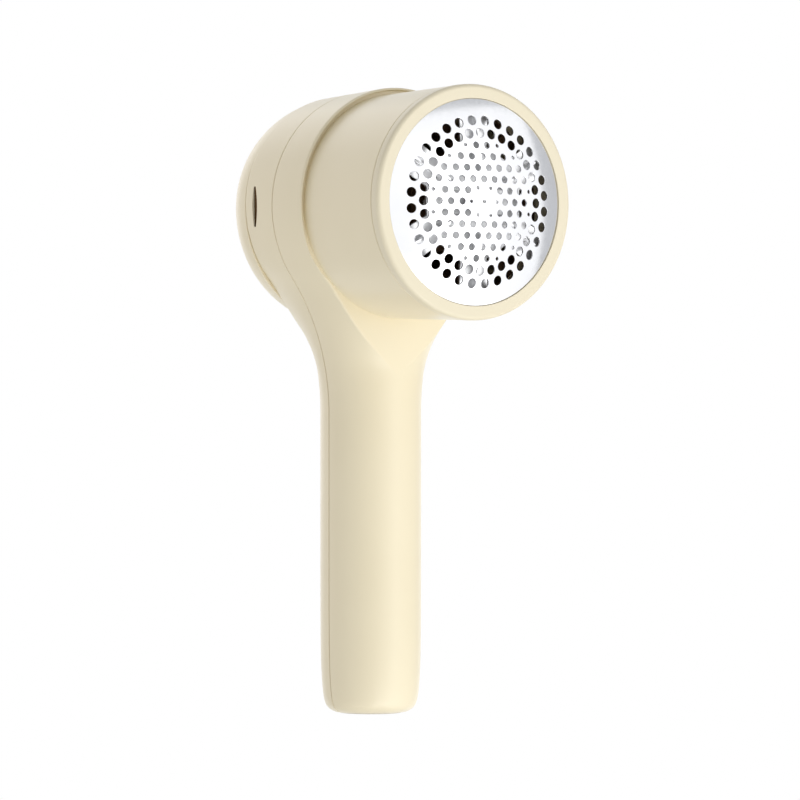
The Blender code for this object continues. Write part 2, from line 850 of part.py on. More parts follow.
def make_cutter(rotor, bright):
    middle = CUTTER_REAR + CUTTER_THICKNESS / 2
    loops = [cutter_outline(), circle(1.2 * MM, 12)]
    place = FORWARD @ Matrix.Translation((0, 0, middle))
    cutter = to_mesh(outline("cutter", loops, CUTTER_THICKNESS, place, bright, rotor))
    clearance = FOIL_THICKNESS + 0.4 * MM
    stations = [7.0, 12.0, 16.0, 20.0, 23.4]
    for leaf in range(CUTTER_LEAVES):
        top = [(r * MM, dome(r * MM) - clearance) for r in stations]
        low = CUTTER_REAR + 0.3 * MM
        loop = [(stations[0] * MM, low)] + top + [(stations[-1] * MM, low)]
        turn = Matrix.Rotation(math.radians(90 + 360 / CUTTER_LEAVES * leaf), 4, "Z")
        upright = Matrix.Rotation(math.radians(90), 4, "X")
        blade = outline(f"blade_{leaf + 1}", [loop], 0.7 * MM, FORWARD @ turn @ upright)
        boolean(cutter, to_mesh(blade), "UNION")


# ---------------------------------------------------------------- lint path


def make_duct(brown):
    flange_rear = HALF_DEPTH + 1.0 * MM
    flange_front = flange_rear + 1.2 * MM
    duct = turned(
        "lint_duct",
        [
            (BARREL_BORE_R - GAP, flange_front),
            (BARREL_BORE_R - GAP, flange_rear),
            (DUCT_R, flange_rear),
            (DUCT_R, -4.4 * MM),
            (DUCT_BORE_R, -4.4 * MM),
            (DUCT_BORE_R, flange_front),
        ],
        FORWARD,
        brown,
    )
    boolean(duct, box("duct_wire_notch", (-3.5, -4.0, 110.0), (3.5, 6.0, 120.0)))


def make_bin(cream, rubber):
    pull = pivot("lint_bin_pivot", (0, 0, HEAD_Z))
    steps = 7
    flat_r = BIN_R - BIN_EDGE_RADIAL
    end = BIN_FACE_Y + BIN_EDGE_AXIAL
    floor = BIN_FACE_Y + 1.5 * MM
    groove_r = BIN_SPIGOT_R - 1.0 * MM
    groove = (BIN_FACE_Y - 1.9 * MM, BIN_FACE_Y - 0.5 * MM)
    profile = [(0.0, end + BIN_CROWN), (flat_r / 2, end + BIN_CROWN * 0.75)]
    for i in range(steps + 1):
        angle = math.pi / 2 * (1 - i / steps)
        r = flat_r + BIN_EDGE_RADIAL * math.cos(angle)
        profile.append((r, BIN_FACE_Y + BIN_EDGE_AXIAL * math.sin(angle)))
    profile += [
        (BIN_SPIGOT_R, BIN_FACE_Y),
        (BIN_SPIGOT_R, groove[1]),
        (groove_r, groove[1]),
        (groove_r, groove[0]),
        (BIN_SPIGOT_R, groove[0]),
        (BIN_SPIGOT_R, 5.0 * MM),
        (BIN_SPIGOT_BORE_R, 5.0 * MM),
        (BIN_SPIGOT_BORE_R, floor),
    ]
    inner_steps = 4
    for i in range(inner_steps + 1):
        angle = math.asin(0.14) + (math.pi / 2 - math.asin(0.14)) * i / inner_steps
        r = flat_r + (BIN_EDGE_RADIAL - BIN_WALL) * math.cos(angle)
        profile.append((r, BIN_FACE_Y + (BIN_EDGE_AXIAL - BIN_WALL) * math.sin(angle)))
    profile.append((0.0, end + BIN_CROWN - BIN_WALL))
    cap = turned("lint_bin", profile, BACKWARD, cream, pull)
    for vert in cap.data.vertices:
        place = BACKWARD @ vert.co
        if place.y > BIN_FACE_Y - 0.01 * MM:
            place.z = leaned(place.y, place.z)
            vert.co = BACKWARD.inverted() @ place
    turned(
        "bin_seal",
        [
            (BIN_SPIGOT_R + 0.15 * MM, groove[1] - 0.2 * MM),
            (BIN_SPIGOT_R + 0.15 * MM, groove[0] + 0.2 * MM),
            (groove_r + 0.2 * MM, groove[0] + 0.2 * MM),
            (groove_r + 0.2 * MM, groove[1] - 0.2 * MM),
        ],
        BACKWARD,
        rubber,
        pull,
    )


def make_housing_screws(steel):
    for i, (x, z) in enumerate(screw_places()):
        turned(
            f"housing_screw_{i + 1}",
            [
                (0.0, 13.7 * MM),
                (1.6 * MM, 13.7 * MM),
                (SCREW_HEAD_R, 13.3 * MM),
                (SCREW_HEAD_R, 12.8 * MM),
                (SCREW_SHANK_R, 12.8 * MM),
                (SCREW_SHANK_R, -9.0 * MM),
                (0.0, -9.6 * MM),
            ],
            along_y(x, z),
            steel,
            steps=12,
        )


# ---------------------------------------------------------------- handle contents


def make_power(cell, nickel, foam):
    axis = Matrix.Translation((0, CELL_Y, 0))
    turned(
        "battery_cell",
        [
            (0.0, CELL_TOP),
            (3.0 * MM, CELL_TOP),
            (3.0 * MM, CELL_TOP - 1.0 * MM),
            (CELL_R - 0.8 * MM, CELL_TOP - 1.0 * MM),
            (CELL_R, CELL_TOP - 2.0 * MM),
            (CELL_R, CELL_BOTTOM + 0.5 * MM),
            (CELL_R - 0.5 * MM, CELL_BOTTOM),
            (0.0, CELL_BOTTOM),
        ],
        axis,
        cell,
        steps=30,
    )
    box("battery_tab_top", (-3.0, -4.5, 76.3), (3.0, 7.4, 76.6), nickel)
    box("battery_tab_bottom", (-3.0, -4.5, 10.4), (3.0, 7.4, 10.7), nickel)
    cylinder("battery_pad", 7.6 * MM, 77.0 * MM, 79.0 * MM, Matrix.Translation((0, -3.4 * MM, 0)), foam)


def make_boards(board, black, lamp, clear, steel):
    rear = (BOARD_Y + BOARD_THICKNESS) / MM
    box("main_board", (-8.5, BOARD_Y / MM, 80.0), (8.5, rear, 110.0), board)
    z = BUTTON_Z / MM
    switch = box("switch_body", (-3.0, rear + 0.3, z - 3.0), (3.0, 7.1, z + 3.0), black)
    boolean(switch, cylinder("switch_bore", 1.8 * MM, 5.4 * MM, 9 * MM, along_y(0, BUTTON_Z)))
    lens = LENS_Z / MM
    box("status_led", (-1.0, rear + 0.3, lens - 0.8), (1.0, 5.4, lens + 0.8), lamp)
    turned(
        "led_lens",
        [
            (0.0, 13.85 * MM),
            (LENS_R, 13.7 * MM),
            (LENS_R, 11.2 * MM),
            (1.9 * MM, 11.2 * MM),
            (1.9 * MM, 10.4 * MM),
            (LENS_R, 10.4 * MM),
            (LENS_R, 5.8 * MM),
            (0.0, 5.8 * MM),
        ],
        along_y(0, LENS_Z),
        clear,
        steps=16,
    )
    box("usb_board", (-6.6, 0.6, 8.4), (6.6, 8.2, 9.6), board)
    width = 8.94 * MM
    height = 3.26 * MM
    skin = 0.35 * MM
    centre = (0.0, PORT_Y)
    middle = Matrix.Translation((0, 0, 4.45 * MM))
    shell = outline("usb_socket", [stadium(width, height, 6, centre)], 7.3 * MM, middle, steel)
    socket = to_mesh(shell)
    hollow = outline(
        "usb_hollow",
        [stadium(width - 2 * skin, height - 2 * skin, 6, centre)],
        7.0 * MM,
        Matrix.Translation((0, 0, 3.3 * MM)),
    )
    boolean(socket, to_mesh(hollow))
    port = PORT_Y / MM
    boolean(socket, box("usb_tongue", (-3.3, port - 0.35, 2.2), (3.3, port + 0.35, 7.4)), "UNION")


def make_base_plate(grey):
    plate = turned(
        "base_plate",
        [
            (0.0, 3.4 * MM),
            (9.9 * MM, 3.4 * MM),
            (9.9 * MM, 2.6 * MM),
            (BASE_HOLE_R - GAP, 2.6 * MM),
            (BASE_HOLE_R - GAP, 0.3 * MM),
            (BASE_HOLE_R - GAP - 0.3 * MM, 0.0),
            (0.0, 0.0),
        ],
        Matrix.Identity(4),
        grey,
        steps=36,
    )
    mouth = stadium(9.6 * MM, 3.9 * MM, 6, (0.0, PORT_Y))
    boolean(plate, to_mesh(outline("port_mouth", [mouth], 20 * MM, Matrix.Identity(4))))


def make_button(grey, black):
    button = pivot("power_button_pivot", (0, HALF_DEPTH, BUTTON_Z))
    turned(
        "power_button",
        [
            (0.0, 14.5 * MM),
            (2.6 * MM, 14.4 * MM),
            (4.3 * MM, 14.15 * MM),
            (BUTTON_R, 13.7 * MM),
            (BUTTON_R, 10.4 * MM),
            (6.0 * MM, 10.4 * MM),
            (6.0 * MM, 9.6 * MM),
            (1.8 * MM, 9.6 * MM),
            (1.8 * MM, 8.6 * MM),
            (0.0, 8.6 * MM),
        ],
        along_y(0, BUTTON_Z),
        grey,
        button,
        steps=32,
    )
    plunger = pivot("switch_plunger_pivot", (0, 7 * MM, BUTTON_Z))
    cylinder("switch_plunger", 1.5 * MM, 6.8 * MM, 8.3 * MM, along_y(0, BUTTON_Z), black, plunger, steps=16)


def make_wires(red, black, white):
    wire("wire_battery_red", [(2.2, 6.9, 77.4), (2.2, 7.4, 78.8), (3.4, 6.6, 81.0), (4.6, 5.3, 84.0)], red)
    wire(
        "wire_battery_black",
        [
            (3.8, 7.0, 10.6),
            (6.8, 7.2, 11.8),
            (8.2, 6.4, 16.0),
            (8.2, 6.4, 46.0),
            (8.2, 6.4, 72.0),
            (7.2, 5.6, 82.0),
        ],
        black,
    )
    wire(
        "wire_charging",
        [
            (-5.2, 7.3, 10.5),
            (-7.2, 6.9, 12.0),
            (-8.2, 6.4, 16.0),
            (-8.2, 6.4, 46.0),
            (-8.2, 6.4, 72.0),
            (-7.2, 5.6, 82.0),
        ],
        white,
    )
    for side, name, finish in ((1, "wire_motor_red", red), (-1, "wire_motor_black", black)):
        wire(
            name,
            [
                (side * 7.0, -3.0, 134.6),
                (side * 6.6, -1.0, 131.0),
                (side * 3.6, 0.4, 123.0),
                (side * 2.0, 1.0, 115.0),
                (side * 2.6, 3.4, 112.6),
                (side * 3.4, 5.2, 109.0),
                (side * 3.4, 5.1, 107.0),
            ],
            finish,
        )


def main():
    cream = material("cream_abs", CREAM, 0.42)
    steel = material("steel", (0.62, 0.62, 0.63), 0.3, 1.0)
    bright = material("polished_steel", (0.80, 0.80, 0.81), 0.15, 1.0)
    zinc = material("zinc_plate", (0.55, 0.56, 0.58), 0.35, 1.0)
    brass = material("brass", (0.72, 0.53, 0.25), 0.35, 1.0)
    copper = material("copper_winding", (0.60, 0.28, 0.13), 0.4, 0.9)
    nickel = material("nickel", (0.66, 0.63, 0.58), 0.3, 1.0)
    black = material("black_plastic", (0.02, 0.02, 0.022), 0.5)
    brown = material("brown_plastic", (0.19, 0.115, 0.07), 0.6)
    dark = material("ferrite", (0.05, 0.05, 0.055), 0.6)
    rubber = material("seal_rubber", (0.07, 0.07, 0.07), 0.8)
    foam = material("foam", (0.09, 0.09, 0.1), 0.95)
    grey = material("warm_grey_plastic", (0.62, 0.57, 0.46), 0.45)
    cell = material("cell_sleeve", (0.05, 0.20, 0.42), 0.35)
    board = material("circuit_board", (0.02, 0.16, 0.07), 0.45)
    lamp = material("led_package", (0.85, 0.82, 0.55), 0.3)
    clear = material("lens_plastic", (0.92, 0.93, 0.92), 0.15)
    red = material("red_insulation", (0.55, 0.03, 0.02), 0.45)
    dark_wire = material("black_insulation", (0.02, 0.02, 0.02), 0.45)
    white_wire = material("white_insulation", (0.8, 0.8, 0.78), 0.45)

    make_housing(cream)
    make_foil_cap(cream, bright)
    make_motor(steel, black, brass, dark, zinc)
    make_motor_mount(brown)
    make_rotor(steel, black, copper, bright)
    make_duct(brown)
    make_bin(cream, rubber)
    make_housing_screws(steel)
    make_power(cell, nickel, foam)
    make_boards(board, black, lamp, clear, steel)
    make_base_plate(grey)
    make_button(grey, black)
    make_wires(red, dark_wire, white_wire)


main()
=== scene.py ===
"""Looks of the fabric shaver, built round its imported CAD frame.

Metres, +Z up. The head's axis is parallel to Y: the perforated foil faces -Y, the lint bin +Y.
"""

from math import asin, copysign, cos, exp, hypot, pi, radians, sin, sqrt, tan

import bmesh
import bpy
from mathutils import Matrix, Vector
from mathutils.geometry import delaunay_2d_cdt


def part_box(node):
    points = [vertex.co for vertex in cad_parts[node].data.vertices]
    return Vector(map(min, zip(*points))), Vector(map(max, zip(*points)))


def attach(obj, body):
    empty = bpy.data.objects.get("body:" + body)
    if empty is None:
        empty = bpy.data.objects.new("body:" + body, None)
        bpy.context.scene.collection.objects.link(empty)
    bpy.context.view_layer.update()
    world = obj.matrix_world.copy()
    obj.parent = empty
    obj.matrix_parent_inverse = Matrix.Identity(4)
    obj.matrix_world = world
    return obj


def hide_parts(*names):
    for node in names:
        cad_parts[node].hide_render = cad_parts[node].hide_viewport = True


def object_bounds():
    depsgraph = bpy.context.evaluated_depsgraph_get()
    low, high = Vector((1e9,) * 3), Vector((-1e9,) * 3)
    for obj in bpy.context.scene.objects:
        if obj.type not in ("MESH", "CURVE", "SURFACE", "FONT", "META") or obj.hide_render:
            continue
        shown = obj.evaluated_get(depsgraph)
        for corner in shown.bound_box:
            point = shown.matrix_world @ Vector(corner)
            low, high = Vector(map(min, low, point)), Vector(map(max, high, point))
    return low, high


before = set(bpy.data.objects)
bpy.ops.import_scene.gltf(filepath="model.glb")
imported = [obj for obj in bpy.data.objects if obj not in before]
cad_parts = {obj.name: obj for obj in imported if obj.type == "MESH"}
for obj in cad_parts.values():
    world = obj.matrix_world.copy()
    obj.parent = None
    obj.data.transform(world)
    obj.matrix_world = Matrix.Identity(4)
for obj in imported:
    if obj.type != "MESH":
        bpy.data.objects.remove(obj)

CAD_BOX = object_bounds()
MM = 0.001


def mm(*values):
    """Millimetres to metres, for numbers and for points."""
    return [tuple(mm(*value)) if isinstance(value, tuple) else value * MM for value in values]


# Places read from the frame
HEAD_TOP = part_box("front_shell")[1].z
COLLAR_FRONT = -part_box("foil_collar")[0].y
BASE_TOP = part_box("base_plate")[1].z

# Outline of handle and head
HANDLE_R = 13.8 * MM
HEAD_R = 32.3 * MM
HEAD_Z = HEAD_TOP - HEAD_R
FLARE_R = 62.0 * MM
HALF_DEPTH = 13.8 * MM
CREASE_START = -46.0 * MM
CREASE_GROWTH = 42.0
HEAD_LEAN = 0.04
WALL = 2.0 * MM
BASE_Z = 0.3 * MM
SEAM_HALF_GAP, SEAM_CHAMFER = mm(0.12, 0.12)
RIM_ROUND = 0.8 * MM
FLARE_DROP = sqrt((HEAD_R + FLARE_R) ** 2 - (HANDLE_R + FLARE_R) ** 2)
FLARE_ANGLE = asin(FLARE_DROP / (HEAD_R + FLARE_R))

# Barrel, collar and foil, measured forward from the seam plane
BARREL_ROOT_R, BARREL_TIP_R, BARREL_BORE_R = mm(30.4, 31.3, 28.3)
BARREL_TIP, BORE_START = mm(45.9, 11.0)
ROOT_GROOVE_DEPTH, ROOT_GROOVE_WIDTH = mm(1.3, 1.2)
ROOT_GROOVE_END, ROOT_GROOVE_FADE = mm(21.0, 17.0)
COLLAR_R, COLLAR_REAR = mm(31.4, 46.2)
COLLAR_ROUND = 1.2 * MM
COLLAR_LEDGE_R = 26.2 * MM
SPIGOT_R, SPIGOT_END = mm(27.2, 40.4)
FOIL_R, FOIL_RIM, FOIL_RISE = mm(27.5, 49.0, 4.5)
FOIL_THICKNESS = 0.4 * MM
FOIL_SPHERE = (FOIL_R**2 + FOIL_RISE**2) / (2 * FOIL_RISE)
BAYONET_COUNT = 3
BAYONET_ANGLE = 22.0
RIB_DEPTHS = mm(43.0, 45.2)
LUG_DEPTHS = mm(40.8, 42.4)

# Foil holes. LATTICE_ROWS holds, for each row from the middle outwards, the holes on one side
# of its middle and how many of them, counted from the rim, are small.
RING_HOLES = 32
OUTER_RING_R, INNER_RING_R, RING_HOLE_R = mm(21.7, 18.3, 1.3)
LATTICE_PITCH, LATTICE_ROW = mm(3.46, 3.0)
LATTICE_ROWS = ((4, 0), (5, 1), (4, 0), (4, 0), (3, 1), (2, 1))
LARGE_HOLE_R, SMALL_HOLE_R = mm(0.95, 0.5)
CORE_RING_R = 4.13 * MM
HOLE_ROUND = 0.09 * MM
RING_HOLE_STEPS, CORE_HOLE_STEPS = 32, 22
FOIL_RIM_RINGS = ((23.9 * MM, 96), (25.0 * MM, 120), (26.2 * MM, 136))

# Lint path
BIN_OPENING_R, BIN_SPIGOT_R = mm(24.5, 24.2)
BIN_SPIGOT_END = 5.0 * MM
BIN_BORE_R = 22.7 * MM
BIN_FACE, BIN_R = mm(13.9, 31.9)
BIN_EDGE_RADIAL, BIN_EDGE_AXIAL = mm(12.0, 14.1)
BIN_CROWN, BIN_WALL = mm(0.6, 1.8)
DUCT_R, DUCT_BORE_R, DUCT_END = mm(23.6, 22.4, -4.4)
DUCT_NOTCH_HALF = Vector(mm(3.5, 5.0, 5.0))
DUCT_NOTCH_CENTRE = Vector(mm(0.0, 1.0, 115.0))

# Cutter
CUTTER_LEAVES = 6
CUTTER_DISC_R, CUTTER_TIP_R = mm(15.5, 24.0)
CUTTER_REAR, CUTTER_THICKNESS = mm(47.6, 0.8)
VALLEY_SHARE = 0.985
LEAF_ROOT_HALF = radians(16)
LEAF_TIP_HALF = radians(11)
LEAF_ROOT_ROUND, LEAF_TIP_ROUND = mm(0.8, 0.7)
BLADE_CLEARANCE, BLADE_HALF = mm(0.4, 0.35)
BLADE_STATIONS = mm(7.0, 9.0, 12.0, 14.0, 16.0, 18.0, 20.0, 22.0, 23.4)

# Fasteners, button and base
SCREW_CIRCLE_R = 27.4 * MM
BOSS_R, BOSS_BORE_R = mm(2.5, 1.4)
BOSS_START, BOSS_END = mm(0.45, 12.3)
RECESS_FLOOR = 12.5 * MM
SCREW_HEAD_R, SCREW_RECESS_R = mm(2.1, 2.4)
BUTTON_Z, BUTTON_R = mm(96.0, 4.8)
LENS_Z, LENS_R = mm(86.0, 1.2)
PORT_Y = 4.6 * MM
BASE_HOLE_R = 8.9 * MM
BASE_FLANGE_R, BASE_FLANGE_Z = mm(9.9, 2.6)
SLOT_HEIGHT, SLOT_REAR_Y = mm(11.0, 9.9)
SLOT_END_WIDTH, SLOT_WIDTH = mm(0.9, 2.3)
SLOT_CORNER = 0.4 * MM
SLOT_LIP, SLOT_UNDERCUT = mm(0.22, 1.4)

# Camera, lights and floor
VIEW_AZIMUTH = 34.61
VIEW_DISTANCE = 1294.8 * MM
VIEW_HEIGHT, VIEW_OFFSET = mm(85.5, 8.01)
VIEW_LENS = 212.8
SOFTBOX_DISTANCE = 0.95
ROOM_LIGHT = 0.51
ROOM_REFLECTION = 0.60
FLOOR_HALF = 6.0
FLOOR_Z = -0.05 * MM
WHITE = (1.0, 1.0, 1.0, 1.0)

WELD = 0.002 * MM
HALVINGS = 34
ROUND_STEPS = 144
SMALL_STEPS = 48
BEVEL_ANGLE = radians(34.0)
NOISE_LOW, NOISE_HIGH = 0.3, 0.7
SQUARE = ((-1, -1), (1, -1), (1, 1), (-1, 1))

UPRIGHT = Matrix.Identity(4)
FORWARD = Matrix.Translation((0, 0, HEAD_Z)) @ Matrix.Rotation(radians(90), 4, "X")
BACKWARD = Matrix.Translation((0, 0, HEAD_Z)) @ Matrix.Rotation(radians(-90), 4, "X")


# ---- Mesh helpers


def new_object(name, data):
    obj = bpy.data.objects.new(name, data)
    bpy.context.scene.collection.objects.link(obj)
    return obj


def mesh_object(name, points, faces):
    mesh = bpy.data.meshes.new(name)
    mesh.from_pydata(points, [], faces)
    mesh.validate()
    return new_object(name, mesh)


def tidy_mesh(obj):
    """Points on top of each other made one, and every face turned outwards."""
    bm = bmesh.new()
    bm.from_mesh(obj.data)
    bmesh.ops.remove_doubles(bm, verts=bm.verts, dist=WELD)
    bmesh.ops.dissolve_degenerate(bm, edges=bm.edges, dist=WELD)
    bmesh.ops.recalc_face_normals(bm, faces=bm.faces)
    bm.to_mesh(obj.data)
    bm.free()
    return obj


def combine(obj, other, operation="DIFFERENCE"):
    """Cut obj with another solid, or join it on. The other solid is used up."""
    modifier = obj.modifiers.new("combine", "BOOLEAN")
    modifier.operation = operation
    modifier.object = other
    modifier.solver = "MANIFOLD"
    graph = bpy.context.evaluated_depsgraph_get()
    mesh = bpy.data.meshes.new_from_object(obj.evaluated_get(graph))
    obj.modifiers.clear()
    obj.data = mesh
    bpy.data.objects.remove(other, do_unlink=True)
    return obj


def piece(obj, finish, stands_for, body="housing", sharp=32.0, extra=False):
    """Finish a piece: smooth shading with crisp flats, and its material, body and CAD node.

    A finish is a material and its slot's name. An extra piece replaces no CAD node.
    """
    material, slot = finish
    obj.name = f"{stands_for}_detail"
    mesh = obj.data
    mesh.name = obj.name
    mesh.materials.clear()
    mesh.materials.append(material)
    mesh.shade_smooth()
    mesh.set_sharp_from_angle(angle=radians(sharp))
    normals = obj.modifiers.new("normals", "WEIGHTED_NORMAL")
    normals.keep_sharp = True
    normals.weight = 60
    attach(obj, body)
    if not extra:
        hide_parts(stands_for)


def polar(r, angle, x=0.0, y=0.0):
    """The point at a distance and an angle from (x, y)."""
    return x + r * cos(angle), y + r * sin(angle)


def arc_corner(before, corner, after, radius, steps):
    """Points that round one corner of an outline with an arc of the given radius."""
    corner = Vector(corner)
    towards = (Vector(before) - corner).normalized()
    onwards = (Vector(after) - corner).normalized()
    half = towards.angle(onwards) / 2
    reach = radius / tan(half)
    middle = (towards + onwards).normalized()
    centre = corner + middle * (radius / sin(half))
    first = corner + towards * reach - centre
    last = corner + onwards * reach - centre
    turn = first.angle(last)
    points = []
    for i in range(steps + 1):
        t = i / steps
        share = (sin((1 - t) * turn) * first + sin(t * turn) * last) / sin(turn)
        points.append(tuple(centre + share))
    return points


def rounded(corners, steps=6):
    """An outline from (x, y) corners; (x, y, radius) is a rounded one."""
    points = []
    for i, corner in enumerate(corners):
        if len(corner) == 2:
            points.append(corner)
            continue
        before = corners[i - 1][:2]
        after = corners[(i + 1) % len(corners)][:2]
        points += arc_corner(before, corner[:2], after, corner[2], steps)
    return points


def turned(name, profile, matrix, steps=ROUND_STEPS):
    """A profile of (radius, height) points turned once round the matrix's Z axis.

    A profile that starts and ends on the axis makes a solid one, and any other a ring.
    """
    on_axis = profile[0][0] == 0.0 and profile[-1][0] == 0.0
    rim = profile[1:-1] if on_axis else profile
    points = []
    for i in range(steps):
        angle = 2 * pi * i / steps
        points += [(*polar(r, angle), h) for r, h in rim]
    count = len(rim)
    faces = []
    for i in range(steps):
        here = i * count
        there = (i + 1) % steps * count
        for j in range(count - 1 if on_axis else count):
            k = (j + 1) % count
            faces.append((here + j, here + k, there + k, there + j))
    if on_axis:
        for end, (_, height) in ((0, profile[0]), (count - 1, profile[-1])):
            points.append((0.0, 0.0, height))
            tip = len(points) - 1
            faces += [(tip, i * count + end, (i + 1) % steps * count + end) for i in range(steps)]
    obj = mesh_object(name, [tuple(matrix @ Vector(point)) for point in points], faces)
    return tidy_mesh(obj)


def prism(name, rings, matrix=UPRIGHT):
    """A closed solid through rings of (x, y, z) points with the same number of points each."""
    count = len(rings[0])
    points = [tuple(matrix @ Vector(point)) for ring in rings for point in ring]
    faces = []
    for layer in range(len(rings) - 1):
        low = layer * count
        high = low + count
        for i in range(count):
            j = (i + 1) % count
            faces.append((low + i, low + j, high + j, high + i))
    faces.append(tuple(range(count))[::-1])
    faces.append(tuple(range(len(points) - count, len(points))))
    return tidy_mesh(mesh_object(name, points, faces))


def drilled(name, low, high, radius, matrix, steps=SMALL_STEPS):
    """A plain round cutter along the matrix's Z axis."""
    return turned(name, [(0.0, low), (radius, low), (radius, high), (0.0, high)], matrix, steps)


def stadium(width, height, centre_y, z):
    """A slot outline: two straight sides and two half-round ends."""
    steps = 14
    radius = height / 2
    reach = width / 2 - radius
    points = []
    for side, first in ((1, -90), (-1, 90)):
        for i in range(steps + 1):
            angle = radians(first + 180 * i / steps)
            points.append((*polar(radius, angle, side * reach, centre_y), z))
    return points


def along_y(x, z):
    """A frame at (x, 0, z) whose Z axis points back, along +Y."""
    return Matrix.Translation((x, 0, z)) @ Matrix.Rotation(radians(-90), 4, "X")


# ---- The housing's outline


def base_rounding(z):
    """How far the handle's surface draws in near its base: a short round and a long taper."""
    short = 3.2 * MM * exp(-z / (1.0 * MM))
    long = 1.7 * MM * exp(-z / (6.5 * MM))
    return short + long


def half_width(z, inset):
    """Half the outline's width seen from the front, for the outside or for a surface inset from it."""
    dz = z - HEAD_Z
    head = HEAD_R - inset
    flare = FLARE_R + inset
    if dz > -sin(FLARE_ANGLE) * head:
        return sqrt(max(0.0, head**2 - dz**2))
    if dz > -FLARE_DROP:
        return HANDLE_R + FLARE_R - sqrt(flare**2 - (dz + FLARE_DROP) ** 2)
    return HANDLE_R - inset - base_rounding(z)


def half_thickness(z, inset):
    """The section's depth semi-axis, which grows above the crease's tip and is then cut flat."""
    rise = max(0.0, z - HEAD_Z - CREASE_START)
    return HANDLE_R - inset - base_rounding(z) + CREASE_GROWTH * rise**2


def leaned(y, z):
    """The top half of the head sinks a little from its front face to its rear face."""
    share = HEAD_LEAN * (y + HALF_DEPTH) / (2 * HALF_DEPTH)
    return z - share * max(0.0, z - HEAD_Z)


def side_x(y, z, inset=0.0):
    """Where the rounded side is, for a depth and a height."""
    share = 1 - (y / half_thickness(z, inset)) ** 2
    return half_width(z, inset) * sqrt(max(0.0, share))


def stations(bottom):
    """Rays in the XZ plane, from inside to outside, round the right half of the outline."""
    rays = []
    rises = (0.0, 0.15, 0.35, 0.6, 0.9, 1.3, 1.8, 2.5, 3.5, 5.0, 7.0, 9.5, 12.5, 16.0, 20.0, 26.0, 34.0)
    heights = [bottom + rise * MM for rise in rises]
    handle_top = HEAD_Z - FLARE_DROP
    last = heights[-1]
    heights += [last + (handle_top - last) * i / 8 for i in range(1, 8)]
    for z in heights:
        rays.append((Vector((0.0, z)), Vector((1.0, 0.0)), HANDLE_R * 1.5))
    pivot = Vector((HANDLE_R + FLARE_R, handle_top))
    flare_steps = 44
    for i in range(flare_steps):
        angle = FLARE_ANGLE * i / flare_steps
        out = Vector((cos(angle), -sin(angle)))
        length = pivot.x / out.x
        rays.append((pivot - out * length, out, length * 0.98))
    head_steps = 72
    for i in range(head_steps + 1):
        angle = -FLARE_ANGLE + (pi / 2 + FLARE_ANGLE) * i / head_steps
        out = Vector((cos(angle), sin(angle)))
        rays.append((Vector((0.0, HEAD_Z)), out, HEAD_R * 1.2))
    return rays


def reach_along(ray, y, inset):
    """How far along a ray the side surface is, at depth y."""
    start, out, far = ray
    near = 0.0
    for _ in range(HALVINGS):
        middle = (near + far) / 2
        place = start + out * middle
        if place.x < side_x(y, place.y, inset):
            near = middle
        else:
            far = middle
    return near


def section_profile(ray, inset, seam_y, chamfer, rows):
    """(distance along the ray, depth) from the seam to the flat face's edge, in one station's plane."""
    limit = HALF_DEPTH - inset
    depth = min(limit, half_thickness(ray[0].y, inset)) if ray[1].y == 0.0 else limit
    corner = reach_along(ray, depth, inset) if depth == limit else 0.0
    if corner < 0.05 * MM:
        corner = 0.0
    start = depth
    if corner:
        step = 0.02 * MM
        slope = Vector((reach_along(ray, depth - step, inset) - corner, step)).normalized()
        turn = pi - slope.angle(Vector((-1.0, 0.0)))
        cut = min(RIM_ROUND * tan(turn / 2), 0.45 * corner)
        start = depth - cut * slope.y
    profile = []
    if chamfer:
        edge = reach_along(ray, seam_y + chamfer, inset)
        profile.append((edge - chamfer, seam_y))
    first = seam_y + chamfer
    for i in range(rows + 1):
        y = first + (start - first) * sin(pi / 2 * i / rows)
        profile.append((reach_along(ray, y, inset), y))
    if not corner:
        profile[-1] = (0.0, start)
    p0 = Vector(profile[-1])
    p1 = Vector((corner, depth))
    p2 = Vector((corner - cut, depth)) if corner else p1
    fillet_steps = 6
    for i in range(1, fillet_steps + 1):
        t = i / fillet_steps
        place = p0 * (1 - t) ** 2 + p1 * 2 * t * (1 - t) + p2 * t**2
        profile.append((place.x, place.y))
    return profile


def half_body(name, side, inset=0.0, bottom=BASE_Z, seam_y=SEAM_HALF_GAP, chamfer=SEAM_CHAMFER, rows=26):
    """A closed half of the housing's outline: side -1 is the front half and 1 the rear half."""
    columns = []
    for ray in stations(bottom):
        line = []
        for distance, y in section_profile(ray, inset, seam_y, chamfer, rows):
            place = ray[0] + ray[1] * distance
            line.append((max(0.0, place.x), side * y, leaned(side * y, place.y)))
        columns.append(line)
    width = len(columns[0])
    right = [point for line in columns for point in line]
    points = right + [(-x, y, z) for x, y, z in right]
    mirror = len(right)
    faces = []
    for s in range(len(columns) - 1):
        for j in range(width - 1):
            a = s * width + j
            quad = (a, a + 1, a + 1 + width, a + width)
            faces.append(quad)
            faces.append(tuple(mirror + i for i in quad[::-1]))
    seam_ring = [s * width for s in range(len(columns))]
    faces.append(tuple(seam_ring + [mirror + i for i in seam_ring[::-1]]))
    base_ring = list(range(width))
    faces.append(tuple(base_ring + [mirror + i for i in base_ring[::-1]]))
    flat = [s * width + width - 1 for s in range(len(columns)) if columns[s][-1][0] > 0.0]
    faces.append(tuple([flat[0] - width] + flat + [mirror + i for i in flat[::-1]]))
    return tidy_mesh(mesh_object(name, points, faces))


# ---- Housing shells


def screw_places():
    return [polar(SCREW_CIRCLE_R, radians(45 + 90 * corner), y=HEAD_Z) for corner in range(4)]


